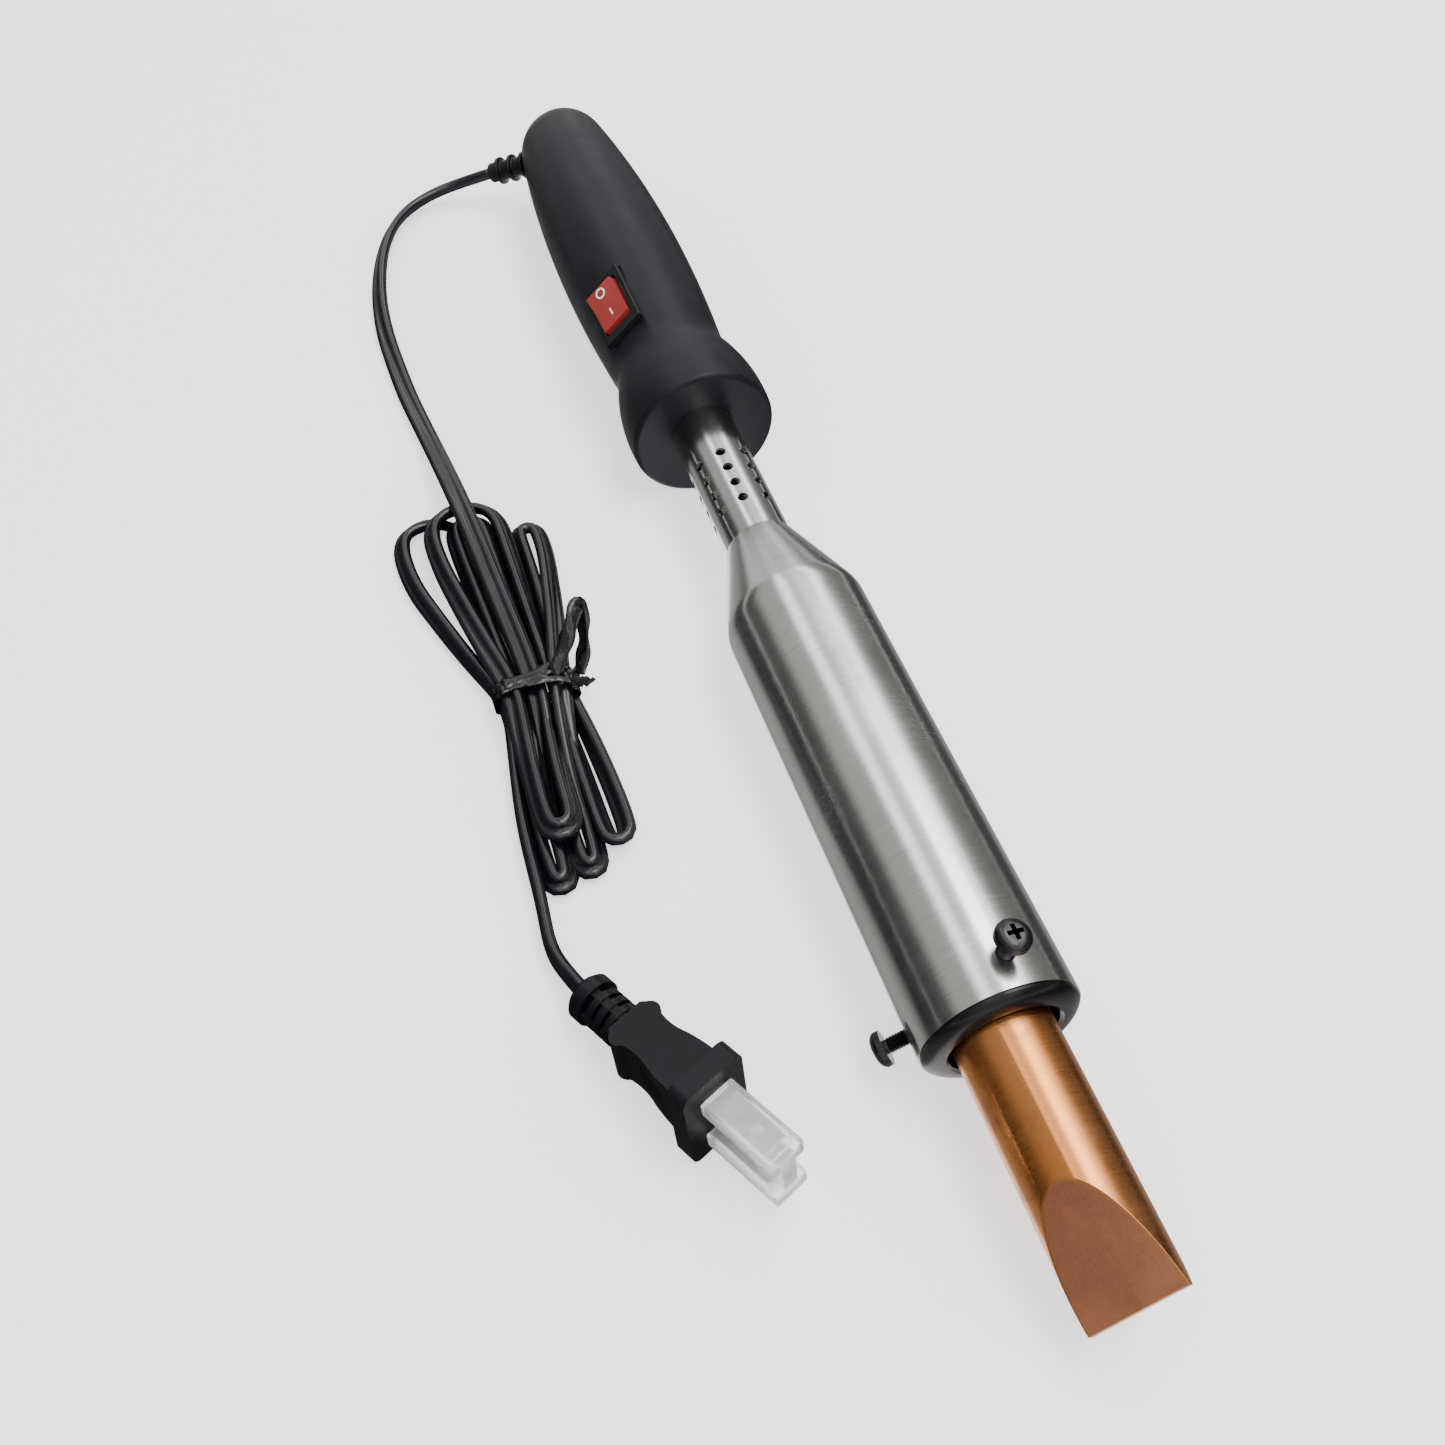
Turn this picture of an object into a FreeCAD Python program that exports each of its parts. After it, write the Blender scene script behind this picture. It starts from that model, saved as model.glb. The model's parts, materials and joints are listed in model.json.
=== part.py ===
import FreeCAD, Part
import math
import os
import Sketcher
from types import SimpleNamespace

from FreeCAD import Placement, Rotation, Vector

# Large mains soldering iron for stained-glass work, in millimetres.
# Row frame: +X towards the copper tip, +Z up, floor at z = 0.
# The iron lies on its handle collar and on the lower rim of its barrel, so its axis slopes
# down a little towards the tip. Pieces of the iron are drawn about that axis: "along" is the
# distance from the barrel's front rim towards the tip, so most pieces have a negative one.
# "Azimuth" is the angle about the axis, from +Y towards +Z.

doc = FreeCAD.newDocument("soldering_iron")

# ---------------------------------------------------------------- driving dimensions

DIMENSIONS = {
    # how the iron lies
    "rim_from_centre": 154.6, "axis_sideways": 0.95,
    # general fits
    "snug_gap": 0.05, "running_gap": 0.05, "loose_gap": 0.3,
    # barrel and cone, one spun sheet
    "barrel_radius": 19.05, "barrel_wall": 0.8, "barrel_back": 124.7, "cone_back": 152.4,
    "shoulder_round": 14.0, "cone_lip": 0.35,
    # neck tube and its vent holes
    "neck_radius": 9.4, "neck_wall": 0.8, "neck_front": 150.4, "neck_back": 231.0,
    "vent_radius": 1.5, "vent_first": 163.6, "vent_pitch": 6.37, "vent_azimuth": 8.5,
    # end ring in the barrel's mouth
    "ring_skirt_back": 22.0, "ring_lip_radius": 18.6, "ring_lip_edge": 0.7, "ring_lip_out": 2.9,
    "ring_bore": 13.1, "ring_crown": 14.4, "ring_crown_round": 6.0, "ring_seat_back": 16.0,
    # copper tip
    "tip_radius": 11.6, "tip_out": 62.3, "tip_in": 58.0, "flat_start": 36.3, "edge_half": 0.9,
    "flat_azimuth": 128.0, "tip_bevel": 0.8,
    # clamp screws
    "screw_back": 8.0, "screw_hole": 2.2, "thread_radius": 1.95, "thread_root": 1.6,
    "thread_pitch": 0.7, "screw_inner": 11.68, "screw_seat": 24.3, "screw_head_radius": 4.1,
    "screw_head_edge": 1.4, "screw_head_rise": 2.9, "screw_head_round": 2.4, "screw_crown": 1.9,
    "recess_half": 1.9, "recess_slot": 0.55, "recess_deep": 1.8, "screw_azimuth": 84.0,
    # heater
    "heater_bore": 11.9, "heater_radius": 12.6, "heater_front": 16.5, "heater_back": 117.0,
    "mica_radius": 13.3, "ribbon_radius": 13.5, "ribbon_wide": 2.4, "ribbon_thick": 0.3,
    "ribbon_pitch": 5.4, "ribbon_front": 28.0, "ribbon_back": 109.0, "wrap_radius": 14.5,
    "blanket_radius": 18.1, "blanket_front": 24.0, "blanket_back": 116.0, "disc_back": 122.0,
    "lead_radius": 0.6, "lead_offset": 4.2, "lead_front": 119.0,
    "sleeve_radius": 1.4, "sleeve_front": 123.0, "sleeve_back": 228.0,
    # handle outline: dome, belly, waist, collar, rounded edge, dished face
    "dome_end": 371.6, "dome_radius": 15.556, "dome_join": 358.07, "dome_join_radius": 15.42,
    "belly_round": 550.0, "belly_join": 236.28, "belly_join_radius": 17.8,
    "waist_round": 25.0, "waist_join": 226.62, "waist_join_radius": 18.81,
    "collar_round": 64.8, "collar_join": 202.38, "collar_join_radius": 21.5,
    "face_round": 1.5, "face": 201.0, "face_radius": 20.0, "face_dish": 202.2,
    "collar_top": 21.7, "collar_middle": 207.5,
    "neck_stop": 232.0, "cavity_radius": 8.4, "cavity_back": 362.0,
    # screw that holds the neck in the handle, from below
    "fixing_along": 216.0, "fixing_radius": 1.3, "fixing_head": 2.6, "fixing_seat": 15.6,
    "fixing_pocket": 3.2, "fixing_inner": 8.0, "fixing_edge": 1.6, "fixing_rise": 2.2,
    "fixing_crown": 1.6,
    # switch, about its own pivot
    "switch_along": 249.8, "switch_azimuth": 133.8, "bezel_top": 20.0, "bezel_thick": 2.2,
    "bezel_long": 25.4, "bezel_wide": 15.0, "housing_long": 21.6, "housing_wide": 12.9,
    "housing_floor": 4.2, "floor_thick": 1.2, "well_long": 19.4, "well_wide": 10.9,
    "pivot_radius": 15.5, "trunnion_radius": 1.0, "trunnion_reach": 6.3, "rocker_wide": 10.2,
    "rocker_tilt": 10.0, "pocket_clear": 0.3,
    "rocker_end_x": 7.3, "rocker_end_z": 6.6, "rocker_mid_z": 5.9, "rocker_side_x": 8.6,
    "rocker_side_z": 2.2, "rocker_hip_x": 6.8, "rocker_hip_z": -1.0, "rocker_foot_x": 3.0,
    "rocker_foot_z": -2.6, "spring_bore": 1.7, "spring_roof": 3.6,
    "spring_radius": 1.2, "spring_wire": 0.22, "spring_pitch": 0.9,
    "plunger_radius": 0.75, "plunger_collar": 1.45, "plunger_tip": 8.2,
    "plunger_lift": 0.4, "plunger_flange": 1.0, "plunger_top": 0.5, "spring_end": 0.1,
    "arm_long": 10.0, "arm_wide": 4.0, "arm_thick": 0.5, "arm_drop": 8.8, "arm_tilt": 6.0,
    "tab_wide": 4.8, "tab_thick": 0.8, "tab_outer": 4.0, "tab_down": 2.4,
    "stud_radius": 0.8,
    # boot at the back of the handle
    "boot_azimuth": 205.0, "boot_tilt": 30.0, "boot_hole": 3.6, "boot_neck": 3.5,
    "boot_inside": 8.0, "boot_base": 15.9, "rib_radius": 4.7, "rib_thick": 1.9,
    "rib_pitch": 5.0, "boot_core": 3.4, "boot_out": 31.0, "boot_cap": 4.0, "rib_edge": 0.4,
    # free cord and what is on it
    "cord_radius": 3.1, "inner_radius": 2.6, "core_radius": 0.9,
    "crimp_bore": 1.0, "crimp_radius": 2.2, "clip_front": 320.0, "clip_back": 324.0,
    "clip_gap": 0.3, "clip_radius": 3.9,
    "tie_wide": 3.4, "tie_thick": 0.8,
    # plug, about the middle of its front face
    "plug_x": 150.15, "plug_y": -61.75, "plug_z": 13.6, "plug_heading": 25.85, "plug_rise": 7.0,
    "flange_wide": 17.0, "flange_tall": 26.0, "flange_thick": 5.2, "flange_round": 2.5,
    "grip_back": 28.4, "grip_front_wide": 13.4, "grip_bow_end": 14.5, "grip_bow_round": 50.0,
    "grip_bow_wide": 11.8, "grip_waist_end": 22.8, "grip_waist_round": 16.0,
    "grip_ear_wide": 11.4, "grip_ear_end": 27.2, "grip_ear_round": 2.6, "grip_end_wide": 9.2,
    "grip_tall": 17.5, "grip_back_tall": 13.5,
    "relief_back": 43.0, "relief_core": 3.9, "relief_rib": 5.3, "relief_rib_thick": 1.8,
    "relief_pitch": 2.9, "relief_collar": 6.0, "relief_chamfer": 1.0, "relief_cap": 4.2,
    "relief_root": 26.4, "relief_ridge": 1.1, "relief_inset": 0.3,
    "blade_wide": 6.3, "blade_thick": 1.5, "blade_gap": 12.7, "blade_out": 17.5,
    "blade_in": 9.0, "blade_hole": 1.6, "blade_hole_at": 12.5,
    "cover_start": 0.4, "cover_out": 21.5, "cover_wide": 9.0, "cover_tall": 4.4,
    "cover_wall": 0.9, "web_start": 14.5, "web_thick": 4.0,
}

VENT_ROWS = 8
VENTS_IN_ROW = 4
CLAMP_SCREWS = {"clamp_screw_upper": 0, "clamp_screw_side": 120, "clamp_screw_lower": 240}
RECESS_TAPER = -12
BOOT_RIBS = 3
RELIEF_RIBS = 3


class Size:
    """A length with its number and the sheet formula that gives it."""

    def __init__(self, value, formula):
        self.value = value
        self.formula = formula

    def __add__(self, other):
        other = as_size(other)
        return Size(self.value + other.value, f"({self.formula} + {other.formula})")

    def __sub__(self, other):
        other = as_size(other)
        return Size(self.value - other.value, f"({self.formula} - {other.formula})")

    def __mul__(self, other):
        other = as_size(other)
        return Size(self.value * other.value, f"({self.formula} * {other.formula})")

    def __neg__(self):
        return Size(-self.value, f"(0 - {self.formula})")


def as_size(thing):
    return thing if isinstance(thing, Size) else Size(float(thing), repr(float(thing)))


sheet = doc.addObject("Spreadsheet::Sheet", "Sizes")
for row, (alias, number) in enumerate(DIMENSIONS.items(), start=1):
    sheet.set(f"A{row}", alias)
    sheet.set(f"B{row}", str(number))
    sheet.setAlias(f"B{row}", alias)
doc.recompute()
S = SimpleNamespace(**{name: Size(value, "Sizes." + name) for name, value in DIMENSIONS.items()})

# ---------------------------------------------------------------- frames

LIE_ANGLE = math.degrees(math.asin(
    (S.collar_top.value - S.barrel_radius.value) / S.collar_middle.value))
IRON = Placement(
    Vector(S.rim_from_centre.value, S.axis_sideways.value,
           S.barrel_radius.value * math.cos(math.radians(LIE_ANGLE))),
    Rotation(Vector(0, 1, 0), LIE_ANGLE))


def iron_at(along=0.0, azimuth=0.0):
    """A frame on the iron's axis, its +Y turned to the azimuth."""
    turned = Placement(Vector(along, 0, 0), Rotation(Vector(1, 0, 0), azimuth))
    return IRON.multiply(turned)


def radial_frame(along, azimuth):
    """A frame on the iron's axis: +X along it, +Z outwards at the azimuth."""
    return iron_at(along, azimuth - 90.0)


SWITCH = radial_frame(-S.switch_along.value, S.switch_azimuth.value).multiply(
    Placement(Vector(0, 0, S.pivot_radius.value), Rotation()))

# The boot leaves the centre of the dome's sphere: +Z is its own axis, pointing out.
BOOT = iron_at(S.dome_radius.value - S.dome_end.value).multiply(Placement(
    Vector(), Rotation(Vector(0, 0, 1), Vector(
        -math.sin(math.radians(S.boot_tilt.value)),
        math.cos(math.radians(S.boot_tilt.value)) * math.cos(math.radians(S.boot_azimuth.value)),
        math.cos(math.radians(S.boot_tilt.value)) * math.sin(math.radians(S.boot_azimuth.value))))))

# The plug stands on edge: +X out of its face, its blades one above the other.
PLUG = Placement(
    Vector(S.plug_x.value, S.plug_y.value, S.plug_z.value),
    Rotation(Vector(0, 0, 1), S.plug_heading.value).multiply(
        Rotation(Vector(0, 1, 0), -S.plug_rise.value)))

# ---------------------------------------------------------------- drawing helpers

subparts = []


def keep(shape_object, label, placement=None):
    """Name a finished sub-part and put it in its place."""
    shape_object.Label = label
    if placement is not None:
        shape_object.Placement = placement
    subparts.append(shape_object)
    return shape_object


def new_body(label):
    return doc.addObject("PartDesign::Body", "body_" + label)


def origin_feature(body, role):
    return next(item for item in body.Origin.OriginFeatures if item.Role == role)


def bind(sketch, kind, arguments, size):
    """Add a dimension to a sketch and bind it to the sheet."""
    index = sketch.addConstraint(Sketcher.Constraint(kind, *arguments, size.value))
    sketch.setExpression(f"Constraints[{index}]", size.formula)


def new_sketch(body, plane, name):
    sketch = body.newObject("Sketcher::SketchObject", name)
    sketch.AttachmentSupport = (origin_feature(body, plane), "")
    sketch.MapMode = "FlatFace"
    return sketch


def outline(body, plane, corners, name="outline"):
    """A closed sketch. A corner is (x, y), or (x, y, radius, side) where an arc starts."""
    sketch = new_sketch(body, plane, name)
    corners = [tuple(as_size(item) for item in corner[:2]) + tuple(corner[2:])
               for corner in corners]
    points = [Vector(corner[0].value, corner[1].value, 0) for corner in corners]
    ends = []
    for index, corner in enumerate(corners):
        start, end = points[index], points[(index + 1) % len(points)]
        if len(corner) == 2:
            ends.append((sketch.addGeometry(Part.LineSegment(start, end)), 1, 2))
            continue
        radius, side = as_size(corner[2]), corner[3]
        chord = end - start
        height = math.sqrt(max(radius.value ** 2 - (chord.Length / 2) ** 2, 0.0))
        left = Vector(-chord.y, chord.x, 0).normalize()
        crown = (start + end) * 0.5 + left * (side * (radius.value - height))
        edge = sketch.addGeometry(Part.Arc(start, crown, end))
        # an arc in a sketch always runs anticlockwise, so its ends may be swapped
        first = sketch.getPoint(edge, 1)
        ends.append((edge, 1, 2) if first.distanceToPoint(start) < 1e-6 else (edge, 2, 1))
        bind(sketch, "Radius", (edge,), radius)
    for index, (edge, first, _) in enumerate(ends):
        before, _, last = ends[index - 1]
        sketch.addConstraint(Sketcher.Constraint("Coincident", before, last, edge, first))
        place_point(sketch, edge, first, corners[index][0], corners[index][1])
    return sketch


def place_point(sketch, edge, end, x, y):
    """Fix a point of a sketch by its two distances from the origin."""
    for kind, size, axis in (("DistanceX", x, -2), ("DistanceY", y, -1)):
        if size.value == 0.0:
            sketch.addConstraint(Sketcher.Constraint("PointOnObject", edge, end, axis))
        else:
            bind(sketch, kind, (-1, 1, edge, end), size)


def circles(body, plane, centres, radius, name="circles"):
    """A sketch of equal circles."""
    sketch = new_sketch(body, plane, name)
    radius = as_size(radius)
    for x, y in centres:
        x, y = as_size(x), as_size(y)
        edge = sketch.addGeometry(Part.Circle(Vector(x.value, y.value, 0), Vector(0, 0, 1),
                                              radius.value))
        bind(sketch, "Radius", (edge,), radius)
        place_point(sketch, edge, 3, x, y)
    return sketch


def revolve(body, corners, axis="H_Axis", name="turned"):
    """Turn an outline of (along, radius) points about the body's X axis."""
    sketch = outline(body, "XY_Plane", corners, name + "_outline")
    feature = body.newObject("PartDesign::Revolution", name)
    feature.Profile = sketch
    feature.ReferenceAxis = (sketch, [axis])
    feature.Angle = 360
    body.Tip = feature
    return feature


def pad(body, sketch, length, name="pad", both=False, back=False):
    feature = body.newObject("PartDesign::Pad", name)
    feature.Profile = sketch
    feature.setExpression("Length", as_size(length).formula)
    feature.SideType = "Symmetric" if both else "One side"
    feature.Reversed = back
    body.Tip = feature
    return feature


def pocket(body, sketch, length=None, name="pocket", both=False, back=False):
    """Cut a sketch out of a body, by a length or right through."""
    feature = body.newObject("PartDesign::Pocket", name)
    feature.Profile = sketch
    if length is None:
        feature.Type = "ThroughAll"
    else:
        feature.setExpression("Length", as_size(length).formula)
    feature.SideType = "Symmetric" if both else "One side"
    feature.Reversed = back
    body.Tip = feature
    return feature


def polar(body, feature, count, name="ring_of"):
    pattern = body.newObject("PartDesign::PolarPattern", name)
    pattern.Originals = [feature]
    pattern.Axis = (origin_feature(body, "X_Axis"), [""])
    pattern.Angle = 360
    pattern.Occurrences = count
    body.Tip = pattern
    return pattern


def round_edges(body, feature, wanted, radius, name="rounding"):
    """Fillet the edges of a feature that the test picks."""
    doc.recompute()
    names = [f"Edge{number}" for number, edge in enumerate(feature.Shape.Edges, start=1)
             if wanted(edge)]
    fillet = body.newObject("PartDesign::Fillet", name)
    fillet.Base = (feature, names)
    fillet.setExpression("Radius", as_size(radius).formula)
    body.Tip = fillet
    return fillet


def ring_edge(along, radius):
    """A test for the circular edge at that place about the X axis."""
    def wanted(edge):
        curve = edge.Curve
        return (isinstance(curve, Part.Circle) and abs(curve.Center.x - along.value) < 0.01
                and abs(curve.Radius - radius.value) < 0.01)
    return wanted


def rectangle(half_x, half_y):
    return [(-half_x, -half_y), (half_x, -half_y), (half_x, half_y), (-half_x, half_y)]


def tube_corners(front, back, inner, outer):
    """The outline of a plain tube between two distances behind the rim."""
    return [(-back, inner), (-front, inner), (-front, outer), (-back, outer)]


def primitive(kind, name, placement=None, **sizes):
    """A Part primitive whose sizes are bound to the sheet."""
    item = doc.addObject("Part::" + kind, name)
    for key, size in sizes.items():
        item.setExpression(key, as_size(size).formula)
    if placement is not None:
        item.Placement = placement
    return item


# ---------------------------------------------------------------- barrel, neck and end ring


def make_barrel_shell():
    """Spun stainless sheet: straight barrel, cone and the short lip round the neck."""
    body = new_body("barrel_shell")
    inner = S.barrel_radius - S.barrel_wall
    lip = S.neck_radius + S.snug_gap
    turned = revolve(body, [
        (0, inner), (0, S.barrel_radius), (-S.barrel_back, S.barrel_radius),
        (-S.cone_back, lip + S.cone_lip), (-S.cone_back, lip), (-S.barrel_back, inner)])
    holes = pocket(body, circles(body, "XY_Plane", [(-S.screw_back, 0)], S.screw_hole), None,
                   "screw_hole")
    polar(body, holes, len(CLAMP_SCREWS), "screw_holes")
    for radius in (S.barrel_radius, inner):
        round_edges(body, body.Tip, ring_edge(-S.barrel_back, radius), S.shoulder_round)
    return keep(body, "barrel_shell", iron_at(0, S.screw_azimuth.value + 90.0))


def make_neck_tube():
    """Stainless tube with rows of vent holes, from inside the cone into the handle."""
    body = new_body("neck_tube")
    revolve(body, tube_corners(S.neck_front, S.neck_back, S.neck_radius - S.neck_wall,
                               S.neck_radius))
    centres = [(-(S.vent_first + S.vent_pitch * number), 0) for number in range(VENTS_IN_ROW)]
    row = pocket(body, circles(body, "XY_Plane", centres, S.vent_radius), None, "vent_row")
    polar(body, row, VENT_ROWS, "vent_rows")
    return keep(body, "neck_tube", iron_at(0, S.vent_azimuth.value))


def make_end_ring():
    """Black steel ring: crowned lip in front, skirt inside the barrel, seat for the heater."""
    body = new_body("end_ring")
    skirt = S.barrel_radius - S.barrel_wall - S.snug_gap
    revolve(body, [
        (-S.ring_skirt_back, skirt), (S.snug_gap, skirt), (S.snug_gap, S.ring_lip_radius),
        (S.ring_lip_edge, S.ring_lip_radius, S.ring_crown_round, 1),
        (S.ring_lip_out, S.ring_crown), (S.ring_lip_out, S.ring_bore + S.ring_lip_edge),
        (S.ring_lip_out - S.ring_lip_edge, S.ring_bore), (-S.ring_seat_back, S.ring_bore),
        (-S.ring_seat_back, S.heater_radius + S.snug_gap),
        (-S.ring_skirt_back, S.heater_radius + S.snug_gap)])
    hole = pocket(body, circles(body, "XY_Plane", [(-S.screw_back, 0)],
                                S.thread_radius + S.running_gap), None, "tapped_hole")
    polar(body, hole, len(CLAMP_SCREWS), "tapped_holes")
    return keep(body, "end_ring", iron_at(0, S.screw_azimuth.value + 90.0))


# ---------------------------------------------------------------- copper tip and its screws


def make_copper_tip():
    """Round copper bar with two flats that meet in a blunt chisel edge."""
    body = new_body("copper_tip")
    bar = revolve(body, [
        (-S.tip_in, 0), (S.tip_out, 0), (S.tip_out, S.tip_radius),
        (S.tip_bevel - S.tip_in, S.tip_radius), (-S.tip_in, S.tip_radius - S.tip_bevel)])
    beyond = S.tip_out + 1
    above = S.tip_radius + 1
    for side in (1, -1):
        wedge = outline(body, "XY_Plane", [
            (S.flat_start, S.tip_radius * side), (S.tip_out, S.edge_half * side),
            (beyond, S.edge_half * side), (beyond, above * side), (S.flat_start, above * side)],
            f"flat_{side + 1}")
        pocket(body, wedge, None, f"chisel_flat_{side + 1}", both=True)
    return keep(body, "copper_tip", iron_at(0, S.flat_azimuth.value))


def make_clamp_screw(label, turn):
    """M4 pan-head screw, its point just touching the copper tip."""
    body = new_body(label)
    root_start = S.screw_inner + S.thread_pitch
    corners = [(S.screw_inner, 0), (S.screw_inner, S.thread_root)]
    ridges = round((S.screw_seat.value - root_start.value) / S.thread_pitch.value)
    for number in range(ridges):
        foot = root_start + S.thread_pitch * number
        corners += [(foot - S.thread_pitch * 0.5, S.thread_radius), (foot, S.thread_root)]
    corners += [
        (S.screw_seat, S.thread_root), (S.screw_seat, S.screw_head_radius),
        (S.screw_seat + S.screw_head_edge, S.screw_head_radius, S.screw_head_round, 1),
        (S.screw_seat + S.screw_head_rise, S.screw_crown), (S.screw_seat + S.screw_head_rise, 0)]
    revolve(body, corners)
    arm, slot = S.recess_half, S.recess_slot
    cross = outline(body, "YZ_Plane", [
        (arm, -slot), (arm, slot), (slot, slot), (slot, arm), (-slot, arm), (-slot, slot),
        (-arm, slot), (-arm, -slot), (-slot, -slot), (-slot, -arm), (slot, -arm),
        (slot, -slot)], "cross")
    cross.setExpression("AttachmentOffset.Base.z",
                        (S.screw_seat + S.screw_head_rise).formula)
    recess = pocket(body, cross, S.recess_deep, "recess")
    recess.TaperAngle = RECESS_TAPER
    azimuth = S.screw_azimuth.value + turn
    outward = radial_frame(-S.screw_back.value, azimuth).multiply(
        Placement(Vector(), Rotation(Vector(0, 1, 0), -90)))
    return keep(body, label, outward)


# ---------------------------------------------------------------- heater


def make_ring_piece(label, front, back, inner, outer):
    body = new_body(label)
    revolve(body, tube_corners(front, back, inner, outer))
    return keep(body, label, iron_at())


def make_heater():
    make_ring_piece("heater_tube", S.heater_front, S.heater_back, S.heater_bore, S.heater_radius)
    make_ring_piece("mica_sleeve", S.blanket_front, S.blanket_back, S.heater_radius + S.snug_gap,
                    S.mica_radius)
    make_ring_piece("mica_wrap", S.blanket_front, S.blanket_back,
                    S.ribbon_radius + S.ribbon_thick, S.wrap_radius)
    make_ring_piece("insulation_blanket", S.blanket_front, S.blanket_back,
                    S.wrap_radius + S.snug_gap, S.blanket_radius)


def make_heating_ribbon():
    """Flat resistance ribbon wound in one helix on the mica sleeve."""
    wound = S.ribbon_back.value - S.ribbon_front.value
    middle = S.mica_radius.value + S.snug_gap.value + S.ribbon_thick.value / 2
    helix = Part.makeHelix(S.ribbon_pitch.value, wound, middle)
    half_wide, half_thick = S.ribbon_wide.value / 2, S.ribbon_thick.value / 2
    section = Part.makePolygon([
        Vector(middle + x * half_thick, 0, z * half_wide)
        for x, z in ((-1, -1), (1, -1), (1, 1), (-1, 1), (-1, -1))])
    pipe = Part.BRepOffsetAPI.MakePipeShell(helix)
    pipe.setFrenetMode(True)
    pipe.add(section)
    pipe.build()
    pipe.makeSolid()
    ribbon = doc.addObject("Part::Feature", "heating_ribbon")
    ribbon.Shape = pipe.shape()
    along_axis = Placement(Vector(-S.ribbon_back.value, 0, 0), Rotation(Vector(0, 1, 0), 90))
    return keep(ribbon, "heating_ribbon", IRON.multiply(along_axis))


def make_ceramic_disc():
    """Disc behind the heater, with a hole for each lead."""
    body = new_body("ceramic_disc")
    revolve(body, [(-S.disc_back, 0), (-S.heater_back - S.snug_gap, 0),
                   (-S.heater_back - S.snug_gap, S.blanket_radius),
                   (-S.disc_back, S.blanket_radius)])
    holes = circles(body, "YZ_Plane", [(S.lead_offset, 0), (-S.lead_offset, 0)],
                    S.lead_radius + S.loose_gap)
    pocket(body, holes, None, "lead_holes", both=True)
    return keep(body, "ceramic_disc", iron_at())


def make_lead_wires():
    """Bare leads from the heater: one to the switch, one to the crimp connector."""
    routes = {
        "switched": [(-S.lead_front.value, -4.2, 0.0), (-238.0, -4.2, 0.0), SOLDER_MIDDLE],
        "neutral": [(-S.lead_front.value, 4.2, 0.0), (-240.0, 4.2, 0.0), (-255.0, 4.0, -3.8),
                    CRIMP_FRONT],
    }
    for name, route in routes.items():
        make_cord(f"{name}_lead", route, S.lead_radius, IRON)


def make_lead_sleeves():
    """Fibreglass sleeves on the two leads, through the neck."""
    solids = []
    for side in (1, -1):
        at = Placement(Vector(-S.sleeve_back.value, S.lead_offset.value * side, 0),
                       Rotation(Vector(0, 1, 0), 90))
        length = S.sleeve_back - S.sleeve_front
        rod = primitive("Cylinder", f"sleeve_rod_{side + 1}", at, Radius=S.sleeve_radius,
                        Height=length)
        hole = primitive("Cylinder", f"sleeve_hole_{side + 1}", at,
                         Radius=S.lead_radius + S.snug_gap, Height=length)
        sleeve = doc.addObject("Part::Cut", f"sleeve_{side + 1}")
        sleeve.Base, sleeve.Tool = rod, hole
        solids.append(sleeve)
    pair = doc.addObject("Part::Compound", "lead_sleeves")
    pair.Links = solids
    return keep(pair, "lead_sleeves", iron_at())


# ---------------------------------------------------------------- handle


def make_handle_shell():
    """Moulded grip: dome, belly, waist and flared collar, with a blind bore for the neck."""
    body = new_body("handle_shell")
    mouth = S.neck_radius + S.snug_gap
    revolve(body, [
        (-S.dome_end, 0, S.dome_radius, 1), (-S.dome_join, S.dome_join_radius, S.belly_round, 1),
        (-S.belly_join, S.belly_join_radius, S.waist_round, -1),
        (-S.waist_join, S.waist_join_radius, S.collar_round, 1),
        (-S.collar_join, S.collar_join_radius, S.face_round, 1),
        (-S.face, S.face_radius), (-S.face_dish, mouth), (-S.neck_stop, mouth),
        (-S.neck_stop, S.cavity_radius), (-S.cavity_back, S.cavity_radius), (-S.cavity_back, 0)])
    well = outline(body, "XY_Plane", [
        (x - S.switch_along, y) for x, y in rectangle(
            S.housing_long * 0.5 + S.pocket_clear, S.housing_wide * 0.5 + S.pocket_clear)],
        "switch_well")
    pocket(body, well, S.collar_top, "switch_pocket", back=True)
    seat = outline(body, "XY_Plane", [
        (x - S.switch_along, y) for x, y in rectangle(
            S.bezel_long * 0.5 + S.pocket_clear, S.bezel_wide * 0.5 + S.pocket_clear)],
        "bezel_seat")
    seat.setExpression("AttachmentOffset.Base.z",
                       (S.bezel_top - S.bezel_thick - S.snug_gap).formula)
    pocket(body, seat, S.collar_top, "bezel_recess", back=True)
    body.Placement = iron_at(0, S.switch_azimuth.value - 90.0)
    boot_hole = primitive("Cylinder", "boot_hole", BOOT, Radius=S.boot_hole,
                          Height=S.dome_radius + 2)
    fixing = radial_frame(-S.fixing_along.value, 270.0)
    fixing_hole = primitive("Cylinder", "fixing_hole", fixing,
                            Radius=S.fixing_radius + S.loose_gap, Height=S.collar_top)
    fixing_pocket = primitive("Cylinder", "fixing_pocket", fixing.multiply(
        Placement(Vector(0, 0, S.fixing_seat.value), Rotation())),
        Radius=S.fixing_pocket, Height=S.collar_top)
    cutters = doc.addObject("Part::MultiFuse", "handle_cutters")
    cutters.Shapes = [boot_hole, fixing_hole, fixing_pocket]
    shell = doc.addObject("Part::Cut", "handle_shell_cut")
    shell.Base, shell.Tool = body, cutters
    return keep(shell, "handle_shell")


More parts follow.
